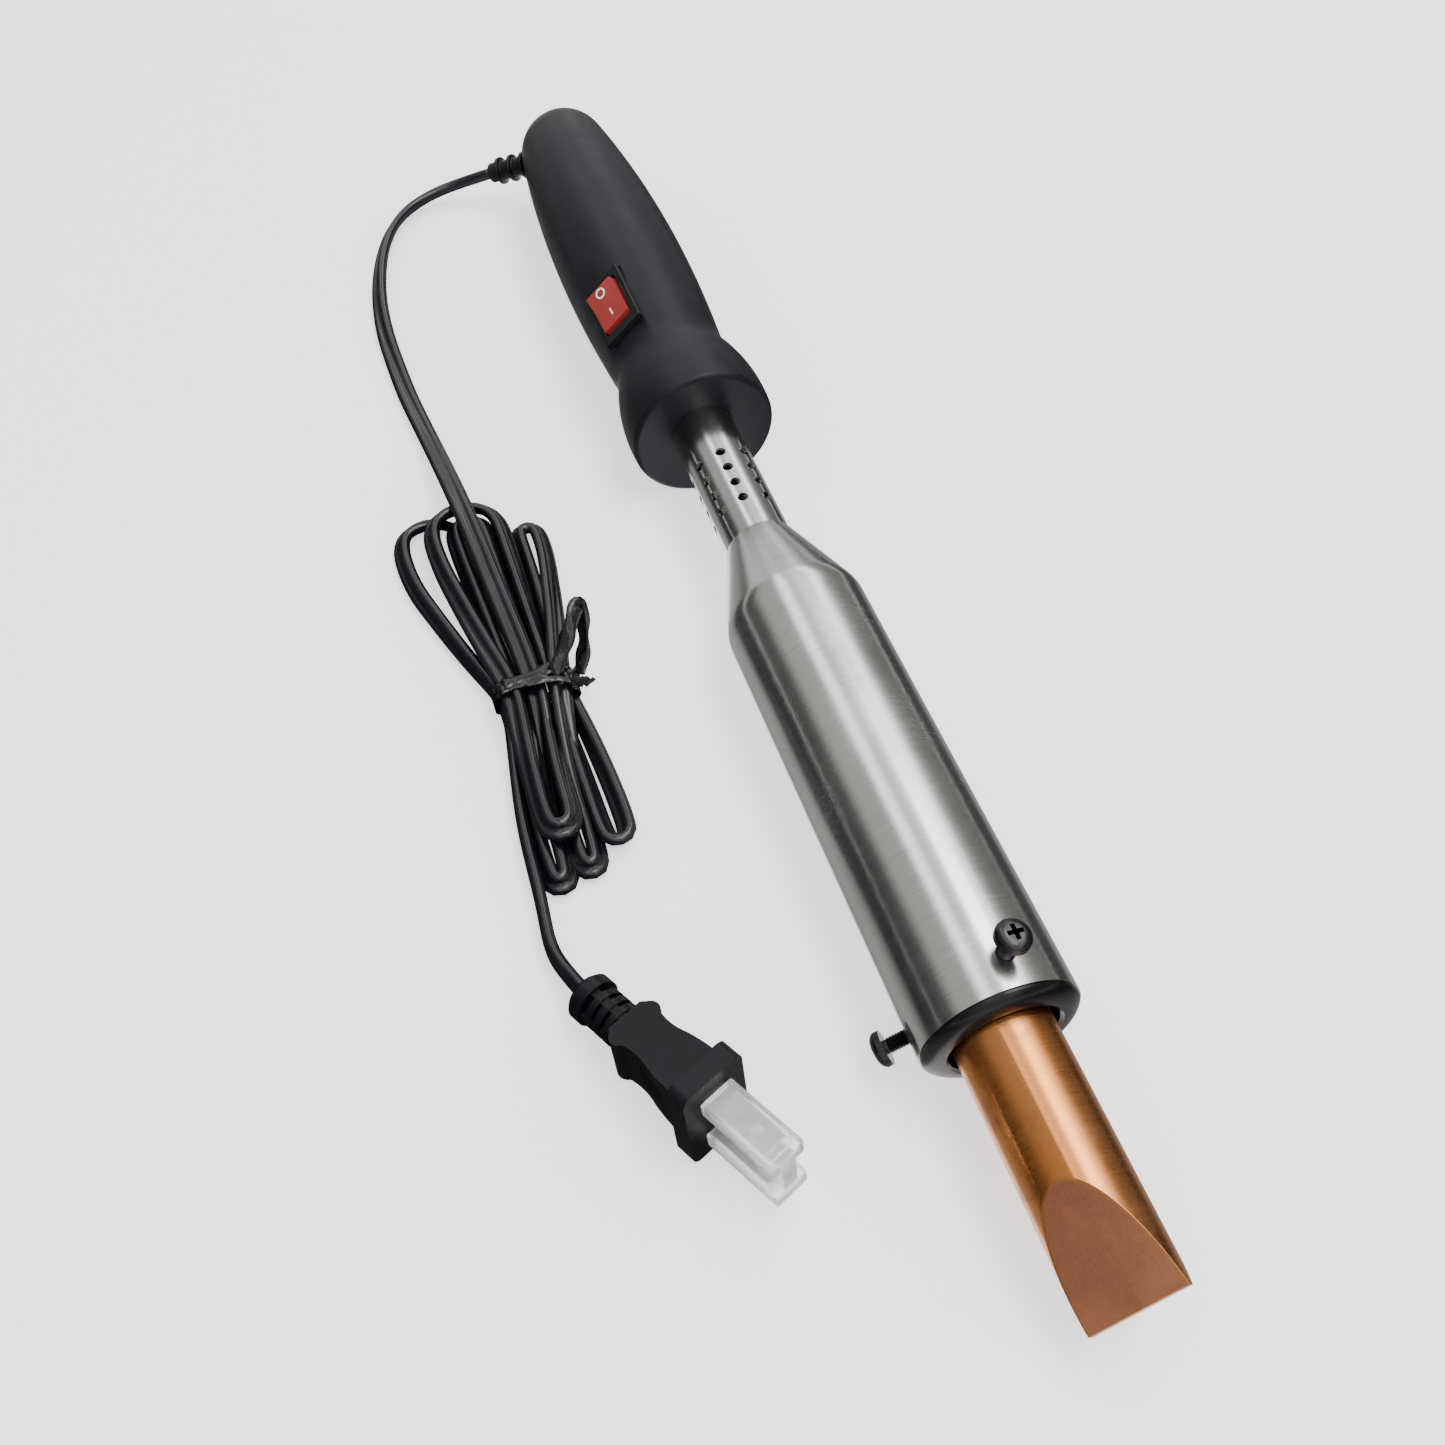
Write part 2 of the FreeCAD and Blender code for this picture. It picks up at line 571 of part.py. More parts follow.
def make_neck_screw():
    """Small pan-head screw that holds the neck tube, sunk in the underside of the collar."""
    body = new_body("neck_screw")
    seat = S.fixing_seat + S.snug_gap
    revolve(body, [
        (S.fixing_inner, 0), (S.fixing_inner, S.fixing_radius), (seat, S.fixing_radius),
        (seat, S.fixing_head), (seat + S.fixing_edge, S.fixing_head),
        (seat + S.fixing_rise, S.fixing_crown), (seat + S.fixing_rise, 0)])
    outward = radial_frame(-S.fixing_along.value, 270.0).multiply(
        Placement(Vector(), Rotation(Vector(0, 1, 0), -90)))
    return keep(body, "neck_screw", outward)


# ---------------------------------------------------------------- switch


def from_pivot(radius):
    """Height above the rocker's pivot of a distance from the iron's axis."""
    return radius - S.pivot_radius


def make_switch_housing():
    """Bezel and well of the rocker switch, with trunnion holes and terminal slots."""
    body = new_body("switch_housing")
    under_bezel = from_pivot(S.bezel_top) - S.bezel_thick
    floor = from_pivot(S.housing_floor)
    bezel = outline(body, "XY_Plane", rectangle(S.bezel_long * 0.5, S.bezel_wide * 0.5), "bezel")
    bezel.setExpression("AttachmentOffset.Base.z", under_bezel.formula)
    pad(body, bezel, S.bezel_thick, "bezel_pad")
    case = outline(body, "XY_Plane", rectangle(S.housing_long * 0.5, S.housing_wide * 0.5),
                   "case")
    case.setExpression("AttachmentOffset.Base.z", floor.formula)
    pad(body, case, under_bezel - floor, "case_pad")
    well = outline(body, "XY_Plane", rectangle(S.well_long * 0.5, S.well_wide * 0.5), "well")
    well.setExpression("AttachmentOffset.Base.z", (floor + S.floor_thick).formula)
    pocket(body, well, S.collar_top, "well_pocket", back=True)
    pins = circles(body, "XZ_Plane", [(0, 0)], S.trunnion_radius + S.running_gap, "pins")
    pocket(body, pins, S.trunnion_reach * 2 + 0.1, "trunnion_holes", both=True)
    half_thick = S.tab_thick * 0.5 + S.snug_gap
    half_wide = S.tab_wide * 0.5 + S.snug_gap
    for number, along in enumerate((as_size(0), -S.tab_outer)):
        slot = outline(body, "XY_Plane", [(x + along, y) for x, y in
                                          rectangle(half_thick, half_wide)], f"slot_{number}")
        slot.setExpression("AttachmentOffset.Base.z", (floor + S.floor_thick * 2).formula)
        pocket(body, slot, S.floor_thick * 4, f"tab_slot_{number}")
    return keep(body, "switch_housing", SWITCH)


def make_rocker():
    """Red rocker with its trunnions, pressed at the end nearer the tip."""
    body = new_body("switch_rocker")
    side = outline(body, "XZ_Plane", [
        (-S.rocker_end_x, S.rocker_end_z), (0, S.rocker_mid_z), (S.rocker_end_x, S.rocker_end_z),
        (S.rocker_side_x, S.rocker_side_z), (S.rocker_hip_x, S.rocker_hip_z),
        (S.rocker_foot_x, S.rocker_foot_z), (-S.rocker_foot_x, S.rocker_foot_z),
        (-S.rocker_hip_x, S.rocker_hip_z), (-S.rocker_side_x, S.rocker_side_z)], "side")
    pad(body, side, S.rocker_wide, "block", both=True)
    pad(body, circles(body, "XZ_Plane", [(0, 0)], S.trunnion_radius, "pin"),
        S.trunnion_reach * 2, "trunnions", both=True)
    bore = circles(body, "XY_Plane", [(0, 0)], S.spring_bore, "bore")
    bore.setExpression("AttachmentOffset.Base.z", S.spring_roof.formula)
    pocket(body, bore, S.collar_top, "spring_bore")
    return keep(body, "switch_rocker", rocker_frame())


def rocker_frame():
    return SWITCH.multiply(Placement(Vector(), Rotation(Vector(0, 1, 0), S.rocker_tilt.value)))


def make_switch_plunger():
    """Collared pin that the spring presses onto the see-saw arm."""
    body = new_body("switch_plunger")
    tip, neck = -S.plunger_tip, -S.plunger_tip + S.plunger_radius
    shoulder = S.rocker_foot_z + S.plunger_lift
    flange = shoulder - S.plunger_flange
    revolve(body, [
        (tip, 0, S.plunger_radius, 1), (neck, S.plunger_radius),
        (flange, S.plunger_radius), (flange, S.plunger_collar),
        (shoulder, S.plunger_collar), (shoulder, S.plunger_radius),
        (S.plunger_top, S.plunger_radius), (S.plunger_top, 0)])
    upright = rocker_frame().multiply(Placement(Vector(), Rotation(Vector(0, 1, 0), -90)))
    return keep(body, "switch_plunger", upright)


def make_switch_spring():
    """Compression spring between the plunger's collar and the roof of the rocker's bore."""
    inset = S.spring_wire.value + S.spring_end.value
    low = S.rocker_foot_z.value + S.plunger_lift.value + inset
    high = S.spring_roof.value - inset
    helix = Part.makeHelix(S.spring_pitch.value, high - low, S.spring_radius.value)
    section = Part.Wire(Part.makeCircle(S.spring_wire.value, Vector(S.spring_radius.value, 0, 0),
                                        Vector(0, 1, 0)))
    pipe = Part.BRepOffsetAPI.MakePipeShell(helix)
    pipe.setFrenetMode(True)
    pipe.add(section)
    pipe.build()
    pipe.makeSolid()
    spring = doc.addObject("Part::Feature", "switch_spring")
    spring.Shape = pipe.shape()
    return keep(spring, "switch_spring",
                rocker_frame().multiply(Placement(Vector(0, 0, low), Rotation())))


def make_contact_arm():
    """Copper see-saw that the plunger rocks on the middle terminal."""
    body = new_body("contact_arm")
    half_long, lift = S.arm_long * 0.5, S.arm_thick
    side = outline(body, "XZ_Plane", [
        (-half_long, 0), (half_long, 0), (half_long, lift), (-half_long, lift)], "strip")
    pad(body, side, S.arm_wide, "strip_pad", both=True)
    contact = circles(body, "XY_Plane", [(-S.tab_outer, 0)], S.stud_radius,
                      "contact")
    pad(body, contact, S.arm_thick, "contact_stud", back=True)
    return keep(body, "contact_arm", arm_frame())


def arm_frame():
    return SWITCH.multiply(Placement(Vector(0, 0, -S.arm_drop.value),
                                     Rotation(Vector(0, 1, 0), -S.arm_tilt.value)))


def make_switch_terminals():
    """Middle terminal that carries the arm, and the one that its stud closes onto."""
    heights = {
        "middle": (as_size(0), -S.arm_drop - S.loose_gap),
        "outer": (-S.tab_outer, -S.arm_drop - S.arm_thick * 2),
    }
    bottom = from_pivot(-S.tab_down)
    tabs = []
    for name, (along, top) in heights.items():
        at = Placement(Vector(along.value - S.tab_thick.value / 2, -S.tab_wide.value / 2,
                              bottom.value), Rotation())
        tabs.append(primitive("Box", "tab_" + name, at, Length=S.tab_thick, Width=S.tab_wide,
                              Height=top - bottom))
    group = doc.addObject("Part::Compound", "switch_terminals")
    group.Links = tabs
    return keep(group, "switch_terminals", SWITCH)


# ---------------------------------------------------------------- cord, inside and free


def rounded_path(points):
    """Straight runs joined by tangent arcs, each as large as its two runs allow."""
    corners = [Vector(*point) for point in points]
    edges, radii = [], []
    start = corners[0]
    for before, corner, after in zip(corners, corners[1:], corners[2:]):
        inward, outward = corner - before, after - corner
        reach = 0.45 * min(inward.Length, outward.Length)
        inward.normalize()
        outward.normalize()
        half_turn = inward.getAngle(outward) / 2
        radius = reach / math.tan(half_turn)
        first, last = corner - inward * reach, corner + outward * reach
        to_centre = (outward - inward).normalize() * (radius / math.cos(half_turn))
        centre = corner + to_centre
        crown = centre + (corner - centre).normalize() * radius
        edges += [Part.LineSegment(start, first).toShape(),
                  Part.Arc(first, crown, last).toShape()]
        radii.append(radius)
        start = last
    edges.append(Part.LineSegment(start, corners[-1]).toShape())
    return Part.Wire(edges), radii


def make_cord(label, points, radius, placement=None):
    """A round tube along the rounded path."""
    path, radii = rounded_path(points)
    first_way = Vector(*points[1]) - Vector(*points[0])
    section = Part.Wire(Part.makeCircle(radius.value, Vector(*points[0]), first_way))
    cord = doc.addObject("Part::Feature", label + "_cord")
    cord.Shape = path.makePipeShell([section], True, False)
    expected = math.pi * radius.value ** 2 * path.Length
    print(f"{label}: length {path.Length:.1f}, least radius {min(radii):.1f}, "
          f"volume {cord.Shape.Volume / expected:.4f} of section x length, "
          f"radii {[round(item) for item in radii]}")
    return keep(cord, label, placement)


BOOT_END = BOOT.multVec(Vector(0, 0, S.boot_out.value))
PLUG_BACK = PLUG.multVec(Vector(-S.relief_back.value, 0, 0))

# places inside the handle, about the iron's axis: where wires meet tabs, crimp and cord
SOLDER_MIDDLE = (-249.2, -0.69, 0.72)
SOLDER_OUTER = (-254.4, 0.69, -0.72)
CRIMP_FRONT = (-262.0, 3.9, -4.4)
CRIMP_BACK = (-276.0, 3.9, -4.4)
CORD_SPLIT = (-290.0, 2.2, -4.2)

LEAD_ROUTE = [
    tuple(BOOT_END), (-222.0, -32.6, 8.2), (-223.0, -46.5, 4.6), (-214.0, -60.5, 3.2),
    (-192.0, -71.0, 3.2), (-158.0, -77.5, 3.2), (-120.0, -76.8, 3.3), (-86.0, -73.9, 3.2),
    (-54.0, -72.0, 3.4)]
TAIL_ROUTE = [
    (79.0, -80.5, 3.4), (86.0, -83.6, 3.2), (94.5, -84.6, 3.3), (102.0, -83.6, 5.0),
    tuple(PLUG_BACK)]
# rear cap to front cap: along X, middle Y, half width, half height, gap under it
HANK_SECTIONS = [
    (-54.0, -71.0, 7.0, 3.4, 0.0), (-43.0, -71.5, 20.0, 4.2, 0.0),
    (-12.0, -70.0, 15.5, 4.8, 0.0), (20.0, -68.5, 9.8, 4.0, 1.2), (46.0, -68.5, 12.0, 4.8, 0.0),
    (69.0, -70.5, 13.5, 4.4, 0.0), (79.0, -77.5, 7.5, 3.4, 0.0)]
TIED_SECTION = 3


def make_hank():
    """One closed solid of the tied hank's outer shape: two lobes and the waist between."""
    rings = []
    for along, sideways, half_wide, half_tall, lift in HANK_SECTIONS:
        oval = Part.Ellipse(Vector(), half_wide, half_tall).toShape()
        oval.Placement = Placement(Vector(along, sideways, half_tall + lift), Rotation(
            Vector(0, 1, 0), Vector(0, 0, 1), Vector(1, 0, 0), "XYZ"))
        rings.append(Part.Wire(oval))
    hank = doc.addObject("Part::Feature", "cord_hank_solid")
    hank.Shape = Part.makeLoft(rings, True, True)
    return keep(hank, "cord_hank")


def make_twist_tie():
    """Flat plastic-coated tie round the waist of the hank."""
    along, sideways, half_wide, half_tall, lift = HANK_SECTIONS[TIED_SECTION]
    inside = lift - S.tie_thick.value
    ovals = []
    for grow in (inside, inside + S.tie_thick.value):
        oval = Part.Ellipse(Vector(), half_wide + grow, half_tall + grow).toShape()
        ovals.append(Part.Face(Part.Wire(oval)))
    band = ovals[1].cut(ovals[0]).extrude(Vector(0, 0, S.tie_wide.value))
    tie = doc.addObject("Part::Feature", "twist_tie_band")
    tie.Shape = band
    return keep(tie, "twist_tie", Placement(
        Vector(along - S.tie_wide.value / 2, sideways, half_tall + lift),
        Rotation(Vector(0, 1, 0), Vector(0, 0, 1), Vector(1, 0, 0), "XYZ")))


def make_boot():
    """Ribbed rubber boot that the cord leaves the handle through."""
    body = new_body("cord_boot")
    core, rib = S.boot_core, S.rib_radius
    bore = S.inner_radius + S.snug_gap
    corners = [(S.boot_inside, bore), (S.boot_out - S.boot_cap, bore),
               (S.boot_out - S.boot_cap, 0), (S.boot_out, 0), (S.boot_out, core)]
    for number in reversed(range(BOOT_RIBS)):
        foot = S.boot_base + S.rib_pitch * number
        corners += [(foot + S.rib_thick, core), (foot + S.rib_thick - S.rib_edge, rib),
                    (foot + S.rib_edge, rib), (foot, core)]
    corners += [(S.boot_base - S.rib_edge, S.boot_neck), (S.boot_inside, S.boot_neck)]
    revolve(body, corners)
    upright = BOOT.multiply(Placement(Vector(), Rotation(Vector(0, 1, 0), -90)))
    return keep(body, "cord_boot", upright)


def make_inner_wiring():
    """Cord, cores, crimp connector and cable tie in the handle's bore, below the switch."""
    floor = S.boot_out.value - S.boot_cap.value - S.snug_gap.value
    boot_floor = IRON.inverse().multVec(BOOT.multVec(Vector(0, 0, floor)))
    in_cavity = IRON.inverse().multVec(BOOT.multVec(Vector(0, 0, 1.0)))
    make_cord("inner_cord", [
        tuple(boot_floor), tuple(in_cavity), (-334.0, 1.0, -3.2), (-312.0, 1.5, -4.2),
        CORD_SPLIT], S.inner_radius, IRON)
    x, y, z = CORD_SPLIT
    make_cord("live_core", [
        (x + 0.5, y - 1.2, z + 0.9), (-275.0, 1.0, -2.7), (-262.0, 1.0, -1.3), SOLDER_OUTER],
        S.core_radius, IRON)
    make_cord("neutral_core", [
        (x + 0.5, y + 1.0, z - 0.9), (-283.5, 3.6, -5.0), CRIMP_BACK], S.core_radius, IRON)
    crimp = make_ring_piece("crimp_connector", -as_size(CRIMP_FRONT[0]), -as_size(CRIMP_BACK[0]),
                            S.crimp_bore, S.crimp_radius)
    crimp.Placement = IRON.multiply(Placement(Vector(0, CRIMP_FRONT[1], CRIMP_FRONT[2]),
                                              Rotation()))
    tie = make_ring_piece("inner_cable_tie", S.clip_front, S.clip_back,
                          S.inner_radius + S.clip_gap, S.clip_radius)
    tie.Placement = IRON.multiply(Placement(Vector(0, 1.25, -3.9), Rotation()))


# ---------------------------------------------------------------- plug


def make_plug_body():
    """Moulded plug: flange, waisted grip, slotted strain relief and its end collar."""
    body = new_body("plug_body")
    half_tall, half_back = S.grip_tall * 0.5, S.grip_back_tall * 0.5
    flange = outline(body, "YZ_Plane", rectangle(S.flange_wide * 0.5, S.flange_tall * 0.5),
                     "flange")
    plate = pad(body, flange, S.flange_thick, "flange_pad", back=True)
    round_edges(body, plate, lambda edge: abs(edge.BoundBox.XLength - edge.Length) < 1e-6,
                S.flange_round, "flange_corners")
    front, bow = S.grip_front_wide * 0.5, S.grip_bow_wide * 0.5
    ear, end = S.grip_ear_wide * 0.5, S.grip_end_wide * 0.5
    grip = outline(body, "XY_Plane", [
        (-S.flange_thick, -front), (-S.flange_thick, front, S.grip_bow_round, -1),
        (-S.grip_bow_end, bow, S.grip_waist_round, 1),
        (-S.grip_waist_end, ear, S.grip_ear_round, -1), (-S.grip_ear_end, ear),
        (-S.grip_back, end), (-S.grip_back, -end), (-S.grip_ear_end, -ear, S.grip_ear_round, -1),
        (-S.grip_waist_end, -ear, S.grip_waist_round, 1),
        (-S.grip_bow_end, -bow, S.grip_bow_round, -1)], "grip_plan")
    pad(body, grip, S.grip_tall, "grip_pad", both=True)
    for number, side in enumerate((1, -1)):
        trim = outline(body, "XZ_Plane", [
            (-S.flange_thick, half_tall * side), (-S.relief_root, half_tall * side),
            (-S.relief_back, half_tall * side), (-S.grip_back, half_back * side)],
            f"trim_{number}")
        pocket(body, trim, None, f"trim_cut_{number}", both=True)
    cap = -S.relief_back + S.relief_cap
    corners = [(-S.relief_back, 0), (-S.relief_back, S.relief_collar - S.relief_chamfer),
               (-S.relief_back + S.relief_chamfer, S.relief_collar), (cap, S.relief_collar),
               (cap, S.relief_core)]
    for number in range(RELIEF_RIBS):
        foot = cap + S.relief_pitch * (number + 0.5)
        corners += [(foot, S.relief_core), (foot, S.relief_rib),
                    (foot + S.relief_rib_thick, S.relief_rib),
                    (foot + S.relief_rib_thick, S.relief_core)]
    corners += [(-S.relief_root, S.relief_core), (-S.relief_root, 0)]
    revolve(body, corners, name="relief")
    for name, half_x, half_y in (("upright", S.relief_ridge, S.relief_rib - S.relief_inset),
                                 ("level", S.relief_rib - S.relief_inset, S.relief_ridge)):
        ridge = outline(body, "YZ_Plane", rectangle(half_x, half_y), f"ridge_{name}")
        ridge.setExpression("AttachmentOffset.Base.z", (cap - S.relief_chamfer).formula)
        pad(body, ridge, -S.relief_root - cap + S.relief_chamfer, f"ridges_{name}")
    for number, side in enumerate((1, -1)):
        slot = outline(body, "YZ_Plane", [
            (x, y + S.blade_gap * 0.5 * side) for x, y in
            rectangle(S.blade_wide * 0.5 + S.snug_gap, S.blade_thick * 0.5 + S.snug_gap)],
            f"blade_slot_{number}")
        pocket(body, slot, S.blade_in + S.snug_gap, f"blade_pocket_{number}")
    return keep(body, "plug_body", PLUG)


def make_plug_blades():
    """Two flat blades, each with its hole, one above the other."""
    blades = []
    for number, side in enumerate((1, -1)):
        at = Placement(Vector(-S.blade_in.value, -S.blade_wide.value / 2,
                              side * S.blade_gap.value / 2 - S.blade_thick.value / 2), Rotation())
        blade = primitive("Box", f"blade_bar_{number}", at, Length=S.blade_in + S.blade_out,
                          Width=S.blade_wide, Height=S.blade_thick)
        drill = primitive("Cylinder", f"blade_drill_{number}", Placement(
            Vector(S.blade_hole_at.value, 0,
                   side * S.blade_gap.value / 2 - S.blade_thick.value), Rotation()),
            Radius=S.blade_hole, Height=S.blade_thick * 2)
        cut = doc.addObject("Part::Cut", f"blade_{number}")
        cut.Base, cut.Tool = blade, drill
        blades.append(cut)
    group = doc.addObject("Part::Compound", "plug_blades")
    group.Links = blades
    return keep(group, "plug_blades", PLUG)


def make_blade_cover():
    """Milky cover: one sheath over each blade, joined by a web at the far end."""
    body = new_body("blade_cover")
    for number, side in enumerate((1, -1)):
        sheath = outline(body, "YZ_Plane", [
            (x, y + S.blade_gap * 0.5 * side) for x, y in
            rectangle(S.cover_wide * 0.5, S.cover_tall * 0.5)], f"sheath_{number}")
        sheath.setExpression("AttachmentOffset.Base.z", S.cover_start.formula)
        pad(body, sheath, S.cover_out - S.cover_start, f"sheath_pad_{number}")
    web = outline(body, "XZ_Plane", [
        (S.web_start, -S.blade_gap * 0.5), (S.cover_out, -S.blade_gap * 0.5),
        (S.cover_out, S.blade_gap * 0.5), (S.web_start, S.blade_gap * 0.5)], "web")
    pad(body, web, S.web_thick, "web_pad", both=True)
    for number, side in enumerate((1, -1)):
        hollow = outline(body, "YZ_Plane", [
            (x, y + S.blade_gap * 0.5 * side) for x, y in
            rectangle(S.blade_wide * 0.5 + S.loose_gap, S.blade_thick * 0.5 + S.loose_gap)],
            f"hollow_{number}")
        pocket(body, hollow, S.cover_out - S.cover_wall * 2, f"hollow_pocket_{number}", back=True)
    return keep(body, "blade_cover", PLUG)


# ---------------------------------------------------------------- the whole iron

make_barrel_shell()
make_neck_tube()
make_end_ring()
make_copper_tip()
for screw_label, screw_turn in CLAMP_SCREWS.items():
    make_clamp_screw(screw_label, screw_turn)
make_heater()
make_heating_ribbon()
make_ceramic_disc()
make_lead_wires()
make_lead_sleeves()
make_handle_shell()
make_neck_screw()
make_switch_housing()
make_rocker()
make_switch_plunger()
make_switch_spring()
make_contact_arm()
make_switch_terminals()
make_inner_wiring()
make_boot()
make_cord("cord_lead", LEAD_ROUTE, S.cord_radius)
make_hank()
make_twist_tie()
make_cord("cord_tail", TAIL_ROUTE, S.cord_radius)
make_plug_body()
make_plug_blades()
make_blade_cover()

doc.recompute()

# ---------------------------------------------------------------- check and write

failed = [item.Name for item in doc.Objects if {"Invalid", "Error"} & set(item.State)]
for part in subparts:
    if part.Shape.isNull() or not part.Shape.isValid() or not part.Shape.Solids:
        failed.append(part.Label)
if failed:
    raise RuntimeError("these did not build: " + ", ".join(failed))

os.makedirs("parts", exist_ok=True)
for part in subparts:
    part.Shape.exportStep(f"parts/{part.Label}.step")
    print(f"{part.Label}: {len(part.Shape.Solids)} solid(s), {part.Shape.Volume:.1f} mm3")
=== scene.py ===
import json
import math

import bmesh
import bpy
import numpy as np
from mathutils import Matrix, Vector
from mathutils.bvhtree import BVHTree


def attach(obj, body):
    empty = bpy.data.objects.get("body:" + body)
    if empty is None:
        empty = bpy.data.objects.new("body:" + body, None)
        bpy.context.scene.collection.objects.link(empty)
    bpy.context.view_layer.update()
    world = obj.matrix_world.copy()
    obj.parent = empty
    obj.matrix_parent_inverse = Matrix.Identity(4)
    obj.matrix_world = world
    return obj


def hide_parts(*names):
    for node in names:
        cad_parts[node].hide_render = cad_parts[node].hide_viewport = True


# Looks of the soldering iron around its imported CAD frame. Sizes are in millimetres unless a
# comment says metres, and MM turns them into metres.

MM = 0.001
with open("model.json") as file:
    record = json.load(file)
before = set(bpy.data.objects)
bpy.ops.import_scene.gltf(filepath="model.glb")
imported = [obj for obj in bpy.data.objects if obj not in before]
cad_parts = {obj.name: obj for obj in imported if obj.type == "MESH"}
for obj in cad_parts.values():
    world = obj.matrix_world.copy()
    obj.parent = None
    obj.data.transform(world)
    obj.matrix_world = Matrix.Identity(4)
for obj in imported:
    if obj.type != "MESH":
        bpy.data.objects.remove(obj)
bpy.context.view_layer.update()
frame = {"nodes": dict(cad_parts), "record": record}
nodes = frame["nodes"]
record = frame["record"]
joints = {joint["name"]: joint for joint in record["behaviour"]["joints"]}
scene = bpy.context.scene


def mm(*xyz):
    """A place in metres from its millimetres."""
    return Vector(xyz) * MM


# ---------------------------------------------------------------- places worked out from the frame


def basis(origin, along, up_hint):
    """A frame at origin: +X along, +Z as near to the hint as it can be."""
    x = Vector(along).normalized()
    z = (Vector(up_hint) - x * Vector(up_hint).dot(x)).normalized()
    y = z.cross(x)
    rotation = Matrix((x, y, z)).transposed().to_4x4()
    return Matrix.Translation(Vector(origin)) @ rotation


# IRON starts at the rim of the barrel, +X out through the tip. PLUG starts at the plug's face, +X
# out along the blades.
IRON = basis(joints["tip_slide"]["pos_m"], joints["tip_slide"]["axis"], (0, 0, 1))
PLUG = basis(joints["cover_slide"]["pos_m"], joints["cover_slide"]["axis"], (0, 0, 1))
PIVOT = Vector(joints["rocker_tilt"]["pos_m"])
ROCKER_ALONG = IRON.col[0].to_3d()
ROCKER_UP = Vector(joints["rocker_tilt"]["axis"]).cross(ROCKER_ALONG)

# ---------------------------------------------------------------- camera

CAMERA_AT = mm(275.12, -103.37, 311.38)
CAMERA_RIGHT = Vector((0.32331, 0.94629, 0.0))
CAMERA_BACK = Vector((0.58832, -0.20100, 0.78325))
LENS, SENSOR_WIDTH = 37.10, 36.0
NEAREST_SEEN = 10.0

camera_data = bpy.data.cameras.new("camera")
camera_data.lens = LENS
camera_data.sensor_width = SENSOR_WIDTH
camera_data.clip_start = NEAREST_SEEN * MM
camera = bpy.data.objects.new("camera", camera_data)
right = CAMERA_RIGHT.normalized()
back = (CAMERA_BACK - right * CAMERA_BACK.dot(right)).normalized()
camera.matrix_world = Matrix.Translation(CAMERA_AT) @ Matrix(
    (right, back.cross(right), back)).transposed().to_4x4()
scene.collection.objects.link(camera)
scene.camera = camera

# ---------------------------------------------------------------- cord: one length, boot to plug

CORD_WIDE = 6.2
CORD_THICK = 3.1
# Half the thickness left in the groove, as a part of the whole thickness, and how far round each
# core's outline goes to both sides, in degrees.
GROOVE_PART = 0.24
CORE_ARC, CORE_POINTS = 118, 9
RING_STEP = 1.5
ROLL_BLEND = 5  # rings
# The route's heights suit a cord on edge. Where it is turned flatter it is let down by the
# difference, which comes in over this stretch behind the boot.
SETTLE_FROM, SETTLE_TO = 5, 35

BOOT_END = (-217.13, -23.41, 12.43)
PLUG_BACK = (112.3, -80.35, 8.36)
# Points of the route: X, Y, Z and how far the flat cord is turned on edge there, in degrees.
LEAD = [
    (*BOOT_END, 40), (-222.0, -32.6, 8.2, 40), (-223.0, -46.5, 4.6, 48),
    (-214.0, -60.5, 3.2, 55), (-192.0, -71.0, 3.2, 52), (-158.0, -77.5, 3.2, 36),
    (-120.0, -76.8, 3.3, 8), (-98.0, -74.8, 4.2, 0), (-82.0, -73.8, 7.0, 0),
    (-66.0, -73.1, 10.8, 2), (-50.0, -72.4, 13.6, 6), (-36.0, -71.6, 13.8, 10),
    (-20.0, -70.8, 12.4, 12)]
TAIL = [
    (38.0, -79.4, 3.4, 86), (58.0, -82.4, 3.2, 88), (79.0, -83.3, 3.2, 88),
    (86.0, -83.9, 3.2, 88), (94.5, -84.6, 3.3, 88), (102.0, -83.6, 5.0, 88), (*PLUG_BACK, 88)]

# At the hank's waist six strands stand on edge side by side and three lie on them.
WAIST_X = 20.0
EDGE_SLOT, EDGE_HEIGHT, EDGE_ROLL = (-76.5, -73.3, -70.1, -66.9, -63.7, -60.5), 4.3, 86
TOP_SLOT, TOP_HEIGHT, TOP_ROLL = (-75.0, -68.5, -62.0), 10.5, 16
# Each turn: slot going down, the lower fold, slot coming up, the upper fold. A fold is
# (end, side it goes out on, side it comes back on, height of its middle).
TURNS = [
    (("top", 1), (76.5, -72.0, -66.6, 3.4), ("top", 2), (-44.0, -52.4, -58.8, 3.2)),
    (("edge", 5), (70.5, -57.6, -63.4, 3.2), ("edge", 4), (-53.5, -62.8, -83.2, 7.6)),
    (("top", 0), (67.0, -77.4, -70.0, 9.0), ("edge", 3), (-48.0, -67.0, -76.8, 7.2)),
    (("edge", 1), (78.5, -80.2, -74.8, 3.2), ("edge", 2), (-54.5, -74.0, -92.4, 3.2))]
LAST_SLOT = ("edge", 0)
UPPER_STEPS = ((2.0, 0.40), (-17.0, 0.74), (-32.0, 0.98))
LOWER_STEPS = ((36.0, 0.55), (52.0, 0.92))
FOLD_ANGLES = (67.5, 22.5, -22.5, -67.5)
FOLD_ROLL = 50


def slot_point(slot):
    """The route's point where a strand passes the waist in this slot."""
    row, number = slot
    if row == "edge":
        return (WAIST_X, EDGE_SLOT[number], EDGE_HEIGHT, EDGE_ROLL)
    return (WAIST_X, TOP_SLOT[number], TOP_HEIGHT, TOP_ROLL)


def between(start, end, part):
    """The values that part of the way from start to end."""
    return tuple(a + (b - a) * part for a, b in zip(start, end))


